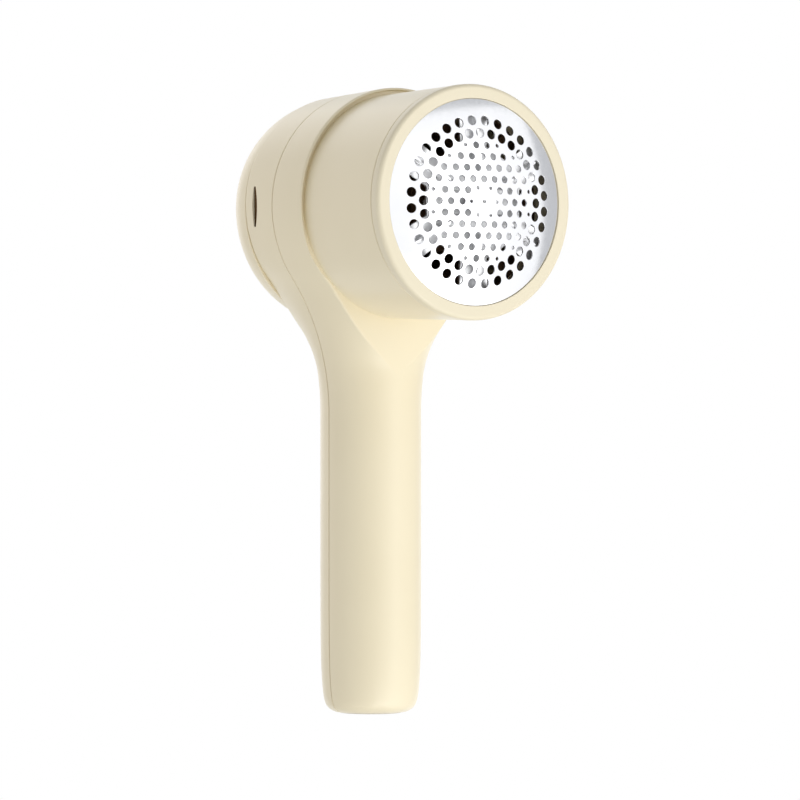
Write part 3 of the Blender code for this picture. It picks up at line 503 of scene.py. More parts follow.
def hollow_out(shell, side):
    """The base plate's opening and the room inside one half of the housing."""
    combine(shell, drilled("base_hole", -1 * MM, 5 * MM, BASE_HOLE_R, UPRIGHT, 96))
    combine(shell, half_body("cavity", side, WALL, BASE_Z + WALL, -3.0 * MM, 0.0, 18))


def add_bosses(shell, boss, bore, recess=None):
    """Screw bosses and their bores, each between two depths, and recesses for the screws' heads."""
    for x, z in screw_places():
        place = along_y(x, z)
        combine(shell, drilled("boss", *boss, BOSS_R, place, 32), "UNION")
        combine(shell, drilled("boss_bore", *bore, BOSS_BORE_R, place, 24))
        if recess:
            combine(shell, drilled("recess", *recess, SCREW_RECESS_R, place))


def add_bayonet(obj, inner, outer, low, high):
    """Blocks between two radii and two depths, joined on round the head's axis."""
    corners = ((inner, low), (outer, low), (outer, high), (inner, high))
    steps = 10
    for block in range(BAYONET_COUNT):
        middle = 90 + 360 / BAYONET_COUNT * block
        rings = []
        for i in range(steps + 1):
            angle = radians(middle + BAYONET_ANGLE * (i / steps - 0.5))
            rings.append([(*polar(r, angle), h) for r, h in corners])
        combine(obj, prism("bayonet", rings, FORWARD), "UNION")


def root_groove():
    """A ring cut round the barrel's root, which runs out towards the handle."""
    deep = HALF_DEPTH - ROOT_GROOVE_DEPTH
    inner = BARREL_ROOT_R - 0.6 * MM
    outer = BARREL_ROOT_R + ROOT_GROOVE_WIDTH
    mouth = HALF_DEPTH + 2.0 * MM
    profile = rounded([(inner, deep), (outer, deep, 0.3 * MM), (outer + 0.3 * MM, mouth), (inner, mouth)])
    groove = turned("root_groove", profile, FORWARD)
    for vertex in groove.data.vertices:
        share = (vertex.co.z - HEAD_Z + ROOT_GROOVE_END) / ROOT_GROOVE_FADE
        sunk = max(0.0, vertex.co.y + HALF_DEPTH)
        vertex.co.y -= sunk * (1 - min(1.0, max(0.0, share)))
    return groove


def make_front_shell(cream):
    shell = half_body("front_shell", -1)
    root = HALF_DEPTH - ROOT_GROOVE_DEPTH - 0.6 * MM
    corners = [(0.0, BARREL_TIP), (BARREL_TIP_R, BARREL_TIP, 0.3 * MM), (BARREL_ROOT_R, root), (0.0, root)]
    combine(shell, root_groove())
    combine(shell, turned("barrel", rounded(corners), FORWARD), "UNION")
    mouth = BARREL_TIP + 0.1 * MM
    profile = [(0.0, BORE_START), (BARREL_BORE_R, BORE_START), (BARREL_BORE_R, BARREL_TIP - 0.3 * MM)]
    profile += [(BARREL_BORE_R + 0.4 * MM, mouth), (0.0, mouth)]
    combine(shell, turned("bore", profile, FORWARD))
    hollow_out(shell, -1)
    add_bosses(shell, (-BOSS_END, -BOSS_START), (-11.0 * MM, 1.0 * MM))
    add_bayonet(shell, SPIGOT_R + 0.3 * MM, BARREL_BORE_R + 0.8 * MM, *RIB_DEPTHS)
    piece(shell, cream, "front_shell")


def slot_prism(name, side, levels):
    """A prism through a side slot's place, from (depth under the shell's surface, growth) levels."""
    half = SLOT_HEIGHT / 2
    end_y = SLOT_REAR_Y - SLOT_END_WIDTH
    corners = [(end_y, half, SLOT_CORNER), (SLOT_REAR_Y, half, SLOT_CORNER)]
    corners += [(SLOT_REAR_Y, -half, SLOT_CORNER), (end_y, -half, SLOT_CORNER)]
    bow_steps = 12
    for i in range(1, bow_steps):
        t = 2 * i / bow_steps - 1
        bow = (SLOT_WIDTH - SLOT_END_WIDTH) * (1 - t**2)
        corners.append((end_y - bow, half * t))
    outline = rounded(corners)
    middle_y = SLOT_REAR_Y - SLOT_WIDTH / 2
    rings = []
    for depth, grow in levels:
        points = []
        for y, dz in outline:
            # mostly along Y, because the slot is tall and slim
            away = Vector((y - middle_y, dz * 0.25)).normalized() * grow
            wide = y + away.x
            z = HEAD_Z + dz + away.y
            points.append((side * (side_x(wide, z) - depth), wide, z))
        rings.append(points)
    return prism(name, rings)


def side_slot(side):
    """A slim slot: straight behind, bowed in front, with a soft edge and a wider pocket inside."""
    levels = [(WALL + 2.0 * MM, SLOT_UNDERCUT), (SLOT_LIP, SLOT_UNDERCUT), (SLOT_LIP, 0.0)]
    levels += [(0.1 * MM, 0.0), (0.0, 0.08 * MM), (-2.0 * MM, 0.08 * MM)]
    return slot_prism("side_slot", side, levels)


def make_slot_shade_sheets(slot_shade):
    """A dark sheet in the pocket behind each side slot. Its flat dark brown is painted shade: it stands for
    the shadow inside the slot and is no real part.
    """
    grow = SLOT_UNDERCUT - 0.1 * MM
    for side, word in ((1, "right"), (-1, "left")):
        screen = slot_prism("slot_screen", side, [(WALL, grow), (SLOT_LIP + 0.03 * MM, grow)])
        piece(screen, slot_shade, f"slot_screen_{word}", extra=True)


def flared_hole(radius, x, z, flare=0.3 * MM):
    """A round hole through the rear flat face, with a small chamfer."""
    beyond = HALF_DEPTH + 2.0 * MM
    profile = [(0.0, 5.0 * MM), (radius, 5.0 * MM), (radius, HALF_DEPTH - flare)]
    profile += [(radius + flare + 2.0 * MM, beyond), (0.0, beyond)]
    return turned("flared_hole", profile, along_y(x, z), SMALL_STEPS * 2)


def make_rear_shell(cream):
    shell = half_body("rear_shell", 1)
    hollow_out(shell, 1)
    combine(shell, flared_hole(BIN_OPENING_R, 0.0, HEAD_Z))
    add_bosses(shell, (BOSS_START, BOSS_END), (-1.0 * MM, 20.0 * MM), (RECESS_FLOOR, 20.0 * MM))
    combine(shell, flared_hole(BUTTON_R + 0.3 * MM, 0.0, BUTTON_Z))
    combine(shell, flared_hole(LENS_R + 0.15 * MM, 0.0, LENS_Z, 0.15 * MM))
    for side in (1, -1):
        combine(shell, side_slot(side))
    piece(shell, cream, "rear_shell")


# ---- Foil cap


def dome(r):
    """Height of the foil's outside at a radius."""
    return FOIL_RIM + sqrt(FOIL_SPHERE**2 - r**2) - (FOIL_SPHERE - FOIL_RISE)


def dome_normal(x, y):
    return Vector((x, y, sqrt(FOIL_SPHERE**2 - x * x - y * y))) / FOIL_SPHERE


def foil_holes():
    """Every hole of the foil as (x, y, radius): two rings round a triangular lattice."""
    holes = []
    half_step = pi / RING_HOLES
    for i in range(RING_HOLES):
        angle = pi / 2 + (2 * i + 1) * half_step
        holes.append((*polar(OUTER_RING_R, angle), RING_HOLE_R))
        angle -= half_step
        holes.append((*polar(INNER_RING_R, angle), RING_HOLE_R))
    for row, (count, small_at_rim) in enumerate(LATTICE_ROWS):
        for sign in (1, -1) if row else (1,):
            for i in range(-count, count + 1):
                if row % 2 and i == 0:
                    continue
                offset = i - copysign(0.5, i) if row % 2 else i
                x = offset * LATTICE_PITCH
                y = sign * row * LATTICE_ROW
                radius = SMALL_HOLE_R if abs(i) > count - small_at_rim else LARGE_HOLE_R
                reach = hypot(x, y)
                if reach < LATTICE_PITCH * 1.1:
                    radius = SMALL_HOLE_R
                    if reach > 0:
                        x *= CORE_RING_R / reach
                        y *= CORE_RING_R / reach
                holes.append((x, y, radius))
    return holes


def hole_edge():
    """(radius beyond the hole's own, depth, turn towards the hole) down a pressed hole's edge."""
    edge = []
    steps = 3
    for i in range(steps + 1):
        angle = pi / 2 * i / steps
        edge.append((HOLE_ROUND * (1 - sin(angle)), HOLE_ROUND * (1 - cos(angle)), angle))
    edge.append((0.0, FOIL_THICKNESS, pi / 2))
    return edge


def make_foil(steel):
    """A domed sheet with rounded hole edges, whose normals follow the true dome."""
    holes = foil_holes()
    loops = []
    for x, y, radius in holes:
        loops.append((x, y, radius, RING_HOLE_STEPS if radius > LARGE_HOLE_R else CORE_HOLE_STEPS))
    loops.append((0.0, 0.0, FOIL_R, ROUND_STEPS))
    flat = []
    edges = []
    owner = []
    for index, (x, y, radius, steps) in enumerate(loops):
        first = len(flat)
        wide = radius + HOLE_ROUND if index < len(holes) else radius - HOLE_ROUND
        for i in range(steps):
            flat.append(Vector(polar(wide, 2 * pi * i / steps, x, y)))
            edges.append((first + i, first + (i + 1) % steps))
            owner.append(index)
    for ring_r, steps in FOIL_RIM_RINGS:
        for i in range(steps):
            flat.append(Vector(polar(ring_r, 2 * pi * i / steps)))
            owner.append(None)
    spots, _, triangles, origins, _, _ = delaunay_2d_cdt(flat, edges, [], 0, 1e-7)

    def in_hole(face):
        middle = sum((spots[i] for i in face), Vector((0, 0))) / len(face)
        return any(hypot(middle.x - x, middle.y - y) < radius + HOLE_ROUND for x, y, radius in holes)

    triangles = [face for face in triangles if not in_hole(face)]
    points = []
    faces = []
    normals = []

    def add_sheet(shrink, depth, sign):
        """One side of the sheet: its points, and its faces with the dome's own normals."""
        first = len(points)
        for spot, source in zip(spots, origins):
            index = owner[source[0]] if source else None
            place = Vector((spot.x, spot.y))
            if index is not None and index < len(holes):
                x, y, radius, _ = loops[index]
                centre = Vector((x, y))
                place = centre + (place - centre) * (radius + shrink) / (radius + HOLE_ROUND)
            elif index is not None:
                place = place * (FOIL_R - shrink) / (FOIL_R - HOLE_ROUND)
            out = dome_normal(place.x, place.y)
            points.append(Vector((place.x, place.y, dome(place.length))) - out * depth)
        for face in triangles:
            turned_face = face if sign > 0 else face[::-1]
            faces.append(tuple(first + i for i in turned_face))
            for i in turned_face:
                normals.append(dome_normal(spots[i].x, spots[i].y) * sign)
        return first

    outside = add_sheet(HOLE_ROUND, 0.0, 1)
    inside = add_sheet(0.0, FOIL_THICKNESS, -1)
    at = {}
    for i, source in enumerate(origins):
        if source:
            at[source[0]] = i
    edge = hole_edge()
    start = 0
    for index, (x, y, radius, steps) in enumerate(loops):
        hole = index < len(holes)
        ring = [at[start + i] for i in range(steps)]
        start += steps
        layers = [[outside + i for i in ring]]
        for extra, depth, _ in edge[1:-1]:
            wide = radius + extra if hole else radius - extra
            layer = []
            for i in range(steps):
                px, py = polar(wide, 2 * pi * i / steps, x, y)
                layer.append(len(points))
                points.append(Vector((px, py, dome(hypot(px, py)))) - dome_normal(px, py) * depth)
            layers.append(layer)
        layers.append([inside + i for i in ring])
        for k in range(len(layers) - 1):
            for i in range(steps):
                j = (i + 1) % steps
                quad = [(k, i), (k + 1, i), (k + 1, j), (k, j)]
                if hole:
                    quad = quad[::-1]
                faces.append(tuple(layers[level][spot] for level, spot in quad))
                for level, spot in quad:
                    angle = 2 * pi * spot / steps
                    away = Vector((*polar(1.0, angle), 0.0)) * (-1 if hole else 1)
                    lean = edge[level][2]
                    up = dome_normal(*polar(radius, angle, x, y))
                    normals.append((up * cos(lean) + away * sin(lean)).normalized())
    foil = mesh_object("foil", [tuple(FORWARD @ point) for point in points], faces)
    turn = FORWARD.to_3x3()
    foil.data.shade_smooth()
    foil.data.normals_split_custom_set([turn @ normal for normal in normals])
    foil.name = "foil_detail"
    foil.data.materials.append(steel[0])
    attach(foil, "foil_cap")
    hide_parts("foil")


def make_collar(cream):
    seat = FOIL_RIM - FOIL_THICKNESS - 0.3 * MM
    lip_r = FOIL_R + 0.1 * MM
    corners = [
        (lip_r, COLLAR_FRONT, 0.15 * MM),
        (COLLAR_R, COLLAR_FRONT, COLLAR_ROUND),
        (COLLAR_R, COLLAR_REAR, 0.2 * MM),
        (SPIGOT_R, COLLAR_REAR),
        (SPIGOT_R, SPIGOT_END, 0.3 * MM),
        (COLLAR_LEDGE_R - 0.2 * MM, SPIGOT_END),
        (COLLAR_LEDGE_R, seat),
        (lip_r, seat),
    ]
    collar = turned("collar", rounded(corners), FORWARD)
    add_bayonet(collar, SPIGOT_R - 0.6 * MM, BARREL_BORE_R - 0.3 * MM, *LUG_DEPTHS)
    # the collar is given the darker copy of the cream, which is painted shade
    piece(collar, cream, "foil_collar", "foil_cap")


# ---- Lint bin and duct


def make_bin(cream, rubber):
    flat_r = BIN_R - BIN_EDGE_RADIAL
    end = BIN_FACE + BIN_EDGE_AXIAL
    groove_r = BIN_SPIGOT_R - 1.0 * MM
    low = BIN_FACE - 1.9 * MM
    high = BIN_FACE - 0.5 * MM
    profile = [(0.0, end + BIN_CROWN)]
    crown_steps = 10
    for i in range(1, crown_steps):
        share = i / crown_steps
        profile.append((flat_r * share, end + BIN_CROWN * (1 - share**2) ** 2))
    edge_steps = 28
    for i in range(edge_steps + 1):
        angle = pi / 2 * (1 - i / edge_steps)
        r = flat_r + BIN_EDGE_RADIAL * cos(angle)
        profile.append((r, BIN_FACE + BIN_EDGE_AXIAL * sin(angle)))
    profile[-1] = (BIN_R, BIN_FACE + 0.15 * MM)
    profile += [(BIN_R - 0.15 * MM, BIN_FACE), (BIN_SPIGOT_R, BIN_FACE)]
    profile += [(BIN_SPIGOT_R, high), (groove_r, high), (groove_r, low), (BIN_SPIGOT_R, low)]
    profile += [(BIN_SPIGOT_R, BIN_SPIGOT_END + 0.4 * MM), (BIN_SPIGOT_R - 0.4 * MM, BIN_SPIGOT_END)]
    profile += [(BIN_BORE_R + 0.3 * MM, BIN_SPIGOT_END), (BIN_BORE_R, BIN_SPIGOT_END + 0.3 * MM)]
    profile.append((BIN_BORE_R, BIN_FACE + 1.5 * MM))
    inner_steps = 14
    lowest = asin(0.14)  # where the inner curve meets the bore
    for i in range(inner_steps + 1):
        angle = lowest + (pi / 2 - lowest) * i / inner_steps
        r = flat_r + (BIN_EDGE_RADIAL - BIN_WALL) * cos(angle)
        profile.append((r, BIN_FACE + (BIN_EDGE_AXIAL - BIN_WALL) * sin(angle)))
    profile.append((0.0, end + BIN_CROWN - BIN_WALL))
    cap = turned("bin", profile, BACKWARD)
    for vertex in cap.data.vertices:
        if vertex.co.y > BIN_FACE - 0.01 * MM:
            vertex.co.z = leaned(vertex.co.y, vertex.co.z)
    piece(cap, cream, "lint_bin", "lint_bin")
    seal_r = BIN_SPIGOT_R + 0.15 * MM
    corners = [(seal_r, high - 0.2 * MM, 0.35 * MM), (seal_r, low + 0.2 * MM, 0.35 * MM)]
    root_r = groove_r + 0.2 * MM
    corners += [(root_r, low + 0.2 * MM, 0.2 * MM), (root_r, high - 0.2 * MM, 0.2 * MM)]
    piece(turned("seal", rounded(corners), BACKWARD), rubber, "bin_seal", "lint_bin")


def make_duct(brown):
    flange_r = BARREL_BORE_R - 0.3 * MM
    flange_rear = HALF_DEPTH + 1.0 * MM
    flange_front = flange_rear + 1.2 * MM
    corners = [
        (flange_r, flange_front, 0.3 * MM),
        (flange_r, flange_rear, 0.3 * MM),
        (DUCT_R, flange_rear),
        (DUCT_R, DUCT_END, 0.4 * MM),
        (DUCT_BORE_R, DUCT_END, 0.4 * MM),
        (DUCT_BORE_R, flange_front, 0.4 * MM),
    ]
    duct = turned("duct", rounded(corners), FORWARD)
    half = DUCT_NOTCH_HALF
    centre = DUCT_NOTCH_CENTRE
    rings = []
    for side in (-1, 1):
        rings.append([(side * half.x, centre.y + half.y * a, centre.z + half.z * b) for a, b in SQUARE])
    combine(duct, prism("notch", rings))
    piece(duct, brown, "lint_duct")


# ---- Cutter


def cutter_outline():
    """A disc with six leaves, each a wedge with a round tip and filleted roots."""
    corners = []
    for leaf in range(CUTTER_LEAVES):
        middle = radians(90 + 360 / CUTTER_LEAVES * leaf)
        corners.append((CUTTER_DISC_R, middle - LEAF_ROOT_HALF, LEAF_ROOT_ROUND))
        corners.append((CUTTER_TIP_R, middle - LEAF_TIP_HALF, LEAF_TIP_ROUND))
        for i in (1, 2, 3):
            corners.append((CUTTER_TIP_R, middle - LEAF_TIP_HALF + LEAF_TIP_HALF * i / 2))
        corners.append((CUTTER_TIP_R, middle + LEAF_TIP_HALF, LEAF_TIP_ROUND))
        corners.append((CUTTER_DISC_R, middle + LEAF_ROOT_HALF, LEAF_ROOT_ROUND))
        valley = middle + radians(180 / CUTTER_LEAVES)
        corners.append((CUTTER_DISC_R * VALLEY_SHARE, valley))
    places = []
    for r, angle, *radius in corners:
        places.append((*polar(r, angle), *radius))
    return rounded(places, 5)


def make_cutter(steel):
    outline = cutter_outline()
    edge = 0.12 * MM
    rings = []
    thick = CUTTER_THICKNESS
    for depth, shrink in ((0.0, edge), (edge, 0.0), (thick - edge, 0.0), (thick, edge)):
        ring = []
        for x, y in outline:
            scale = 1 - shrink / hypot(x, y)
            ring.append((x * scale, y * scale, CUTTER_REAR + depth))
        rings.append(ring)
    cutter = prism("cutter", rings, FORWARD)
    foot = CUTTER_REAR + 0.3 * MM
    for leaf in range(CUTTER_LEAVES):
        turn = Matrix.Rotation(radians(90 + 360 / CUTTER_LEAVES * leaf), 4, "Z")
        sides = []
        for width in (-BLADE_HALF, BLADE_HALF):
            ring = [(BLADE_STATIONS[0], width, foot)]
            for r in BLADE_STATIONS:
                ring.append((r, width, dome(r) - FOIL_THICKNESS - BLADE_CLEARANCE))
            ring.append((BLADE_STATIONS[-1], width, foot))
            sides.append(ring)
        combine(cutter, prism("blade", sides, FORWARD @ turn), "UNION")
    combine(cutter, drilled("shaft_hole", CUTTER_REAR - 1 * MM, CUTTER_REAR + 2 * MM, 1.2 * MM, FORWARD))
    piece(cutter, steel, "cutter", "rotor")


# ---- Button, lens, base and screws


def make_button(grey):
    profile = mm((0.0, 14.32), (1.4, 14.34), (2.6, 14.40), (3.5, 14.5))
    profile += arc_corner(profile[-1], (BUTTON_R, 14.45 * MM), (BUTTON_R, 10.0 * MM), 0.5 * MM, 8)
    profile.append((BUTTON_R, 10.4 * MM))
    profile += mm((6.0, 10.4), (6.0, 9.6), (1.8, 9.6), (1.8, 8.6), (0.0, 8.6))
    button = turned("button", profile, along_y(0, BUTTON_Z), 96)
    piece(button, grey, "power_button", "power_button")


def make_lens(clear):
    profile = mm((0.0, 13.85), (0.5, 13.83), (0.9, 13.77), (1.12, 13.7))
    profile += [(LENS_R, 13.6 * MM), (LENS_R, 11.2 * MM)]
    profile += mm((1.9, 11.2), (1.9, 10.4))
    profile += [(LENS_R, 10.4 * MM), (LENS_R, 5.8 * MM), (0.0, 5.8 * MM)]
    piece(turned("lens", profile, along_y(0, LENS_Z), SMALL_STEPS), clear, "led_lens")


def make_base_plate(grey):
    edge_r = BASE_HOLE_R - 0.15 * MM
    corners = [(0.0, BASE_TOP), (BASE_FLANGE_R, BASE_TOP, 0.2 * MM), (BASE_FLANGE_R, BASE_FLANGE_Z)]
    corners += [(edge_r, BASE_FLANGE_Z), (edge_r, 0.0, 0.5 * MM), (0.0, 0.0)]
    plate = turned("base_plate", rounded(corners), UPRIGHT, 96)
    rings = []
    for z, grow in mm((-0.2, 1.2), (0.4, 0.0), (5.0, 0.0)):
        rings.append(stadium(9.6 * MM + grow, 3.9 * MM + grow, PORT_Y, z))
    combine(plate, prism("port_mouth", rings))
    piece(plate, grey, "base_plate")


def make_socket(steel):
    """A rolled socket shell with its tongue."""
    width = 8.94 * MM
    height = 3.26 * MM
    skin = 0.35 * MM
    low = 0.8 * MM
    high = 8.1 * MM
    outside = [stadium(width - 0.2 * MM, height - 0.2 * MM, PORT_Y, low)]
    outside += [stadium(width, height, PORT_Y, z) for z in (low + 0.1 * MM, high)]
    socket = prism("socket", outside)
    inside = (width - 2 * skin, height - 2 * skin, PORT_Y)
    hollow = [stadium(*inside, z) for z in (low - 1 * MM, high - 1.3 * MM)]
    combine(socket, prism("hollow", hollow))
    tongue = []
    for z, shrink in mm((2.2, 0.15), (2.4, 0.0), (7.4, 0.0)):
        reach = 3.3 * MM - shrink
        half = 0.35 * MM - shrink
        tongue.append([(reach * a, PORT_Y + half * b, z) for a, b in SQUARE])
    combine(socket, prism("tongue", tongue), "UNION")
    piece(socket, steel, "usb_socket")


def cross_recess(radius, depth, top, matrix):
    """A tapered cross that a screwdriver fits, as two crossed wedges."""
    wedges = []
    for length, width in ((radius, 0.32 * radius), (0.32 * radius, radius)):
        rings = []
        for z, scale in ((top - depth, 0.45), (top + 0.3 * MM, 1.0)):
            a = length * (scale if length == radius else 1.0)
            b = width * (scale if width == radius else 1.0)
            rings.append([(a * i, b * j, z) for i, j in SQUARE])
        wedges.append(prism("wedge", rings, matrix))
    return combine(wedges[0], wedges[1], "UNION")


def make_screws(steel):
    for i, (x, z) in enumerate(screw_places()):
        low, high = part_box(f"housing_screw_{i + 1}")
        top = high.y
        profile = [(0.0, top), (0.9 * MM, top - 0.03 * MM), (1.55 * MM, top - 0.16 * MM)]
        profile += [(1.9 * MM, top - 0.38 * MM), (SCREW_HEAD_R, top - 0.62 * MM), (SCREW_HEAD_R, 12.8 * MM)]
        profile += [(1.1 * MM, 12.8 * MM), (1.1 * MM, -9.0 * MM), (0.0, low.y)]
        screw = turned("screw", profile, along_y(x, z), SMALL_STEPS)
        turn = Matrix.Rotation(radians(20 + 35 * i), 4, "Z")
        combine(screw, cross_recess(1.2 * MM, 0.7 * MM, top, along_y(x, z) @ turn))
        piece(screw, steel, f"housing_screw_{i + 1}")


# ---- Small parts kept in their CAD shape


def refined(node, finish, edge, body):
    """The CAD node's own shape, its edges broken by a small bevel in millimetres."""
    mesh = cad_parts[node].data.copy()
    obj = new_object(node, mesh)
    bm = bmesh.new()
    bm.from_mesh(mesh)
    bmesh.ops.remove_doubles(bm, verts=bm.verts, dist=0.001 * MM)
    bmesh.ops.dissolve_limit(bm, angle_limit=radians(1.0), verts=bm.verts, edges=bm.edges)
    sharp = [e for e in bm.edges if len(e.link_faces) == 2 and e.calc_face_angle() > BEVEL_ANGLE]
    if edge:
        settings = {"offset_type": "OFFSET", "segments": 2, "profile": 0.5, "affect": "EDGES"}
        bmesh.ops.bevel(bm, geom=sharp, offset=edge * MM, clamp_overlap=True, **settings)
    bm.to_mesh(mesh)
    bm.free()
    if "custom_normal" in mesh.attributes:
        mesh.attributes.remove(mesh.attributes["custom_normal"])
    piece(obj, finish, node, body, sharp=40.0)


# ---- Materials


def set_inputs(tree, node, inputs):
    """Give a shader node its inputs: a socket is linked, and anything else is a value."""
    for key, value in inputs.items():
        if isinstance(value, bpy.types.NodeSocket):
            tree.links.new(value, node.inputs[key])
        else:
            node.inputs[key].default_value = value
    return node


def add_node(tree, kind, inputs=None):
    return set_inputs(tree, tree.nodes.new(f"ShaderNode{kind}"), inputs or {})


def noise(tree, scale, detail=2.0, stretch=None):
    """A noise texture in object space, in features per metre."""
    place = add_node(tree, "TexCoord").outputs["Object"]
    if stretch:
        place = add_node(tree, "Mapping", {"Scale": stretch, "Vector": place}).outputs["Vector"]
    return add_node(tree, "TexNoise", {"Scale": scale, "Detail": detail, "Vector": place}).outputs["Fac"]


def spread(tree, source, low, high):
    """A noise value brought to a range."""
    inputs = {"From Min": NOISE_LOW, "From Max": NOISE_HIGH, "To Min": low, "To Max": high, "Value": source}
    return add_node(tree, "MapRange", inputs).outputs["Result"]


def surface(
    name, slot, dark, light, roughness, metallic=0.0, mottle=60.0, grain=1500.0, grain_depth=0.004,
    stretch=None, specular=0.5, coat=0.0, subsurface=0.0,
):
    """A finish: a material whose colour drifts between two tints, and its slot's name.

    A fine grain shows in its roughness and relief. mottle and grain are in features per metre,
    and grain_depth is in millimetres.
    """
    made = bpy.data.materials.new(name)
    made.use_nodes = True
    tree = made.node_tree
    mix = tree.nodes.new("ShaderNodeMix")
    mix.data_type = "RGBA"
    drift = spread(tree, noise(tree, mottle, 3.0, stretch), 0.0, 1.0)
    set_inputs(tree, mix, {"Factor": drift, 6: (*dark, 1.0), 7: (*light, 1.0)})
    grain_value = noise(tree, grain, 2.0, stretch)
    relief = {"Strength": 1.0, "Distance": grain_depth * MM, "Height": grain_value}
    inputs = {
        "Base Color": mix.outputs[2],
        "Roughness": spread(tree, grain_value, *roughness),
        "Normal": add_node(tree, "Bump", relief).outputs["Normal"],
        "Metallic": metallic,
        "Specular IOR Level": specular,
        "Coat Weight": coat,
        "Coat Roughness": 0.08,
    }
    if subsurface:
        inputs["Subsurface Weight"] = subsurface
        inputs["Subsurface Radius"] = (1.0, 0.75, 0.45)
        inputs["Subsurface Scale"] = 1.5 * MM
    set_inputs(tree, tree.nodes["Principled BSDF"], inputs)
    return made, slot


def wound_copper():
    """Enamelled wire laid side by side round the armature."""
    tints = (0.42, 0.15, 0.05), (0.62, 0.27, 0.11)
    finish = surface("wound_copper", "copper_winding", *tints, (0.28, 0.42), 0.9)
    tree = finish[0].node_tree
    place = add_node(tree, "TexCoord").outputs["Object"]
    turns = add_node(tree, "TexWave", {"Scale": 420.0, "Distortion": 0.6, "Vector": place})
    turns.wave_type = "BANDS"
    turns.bands_direction = "Y"
    set_inputs(tree, tree.nodes["Bump"], {"Distance": 0.12 * MM, "Height": turns.outputs["Fac"]})
    return finish


def board_green():
    """Solder mask over a grid of copper tracks."""
    tints = (0.008, 0.10, 0.035), (0.015, 0.14, 0.05)
    finish = surface("solder_mask", "circuit_board", *tints, (0.25, 0.36), coat=0.4)
    tree = finish[0].node_tree
    place = add_node(tree, "TexCoord").outputs["Object"]
    upright = {"Rotation": (radians(90), 0.0, 0.0), "Vector": place}
    grid = {
        "Scale": 260.0,
        "Mortar Size": 0.06,
        "Color1": (0.010, 0.12, 0.042, 1.0),
        "Color2": (0.008, 0.10, 0.035, 1.0),
        "Mortar": (0.03, 0.22, 0.09, 1.0),
        "Vector": add_node(tree, "Mapping", upright).outputs["Vector"],
    }
    tracks = add_node(tree, "TexBrick", grid)
    set_inputs(tree, tree.nodes["Principled BSDF"], {"Base Color": tracks.outputs["Color"]})
    return finish


# ---- The object


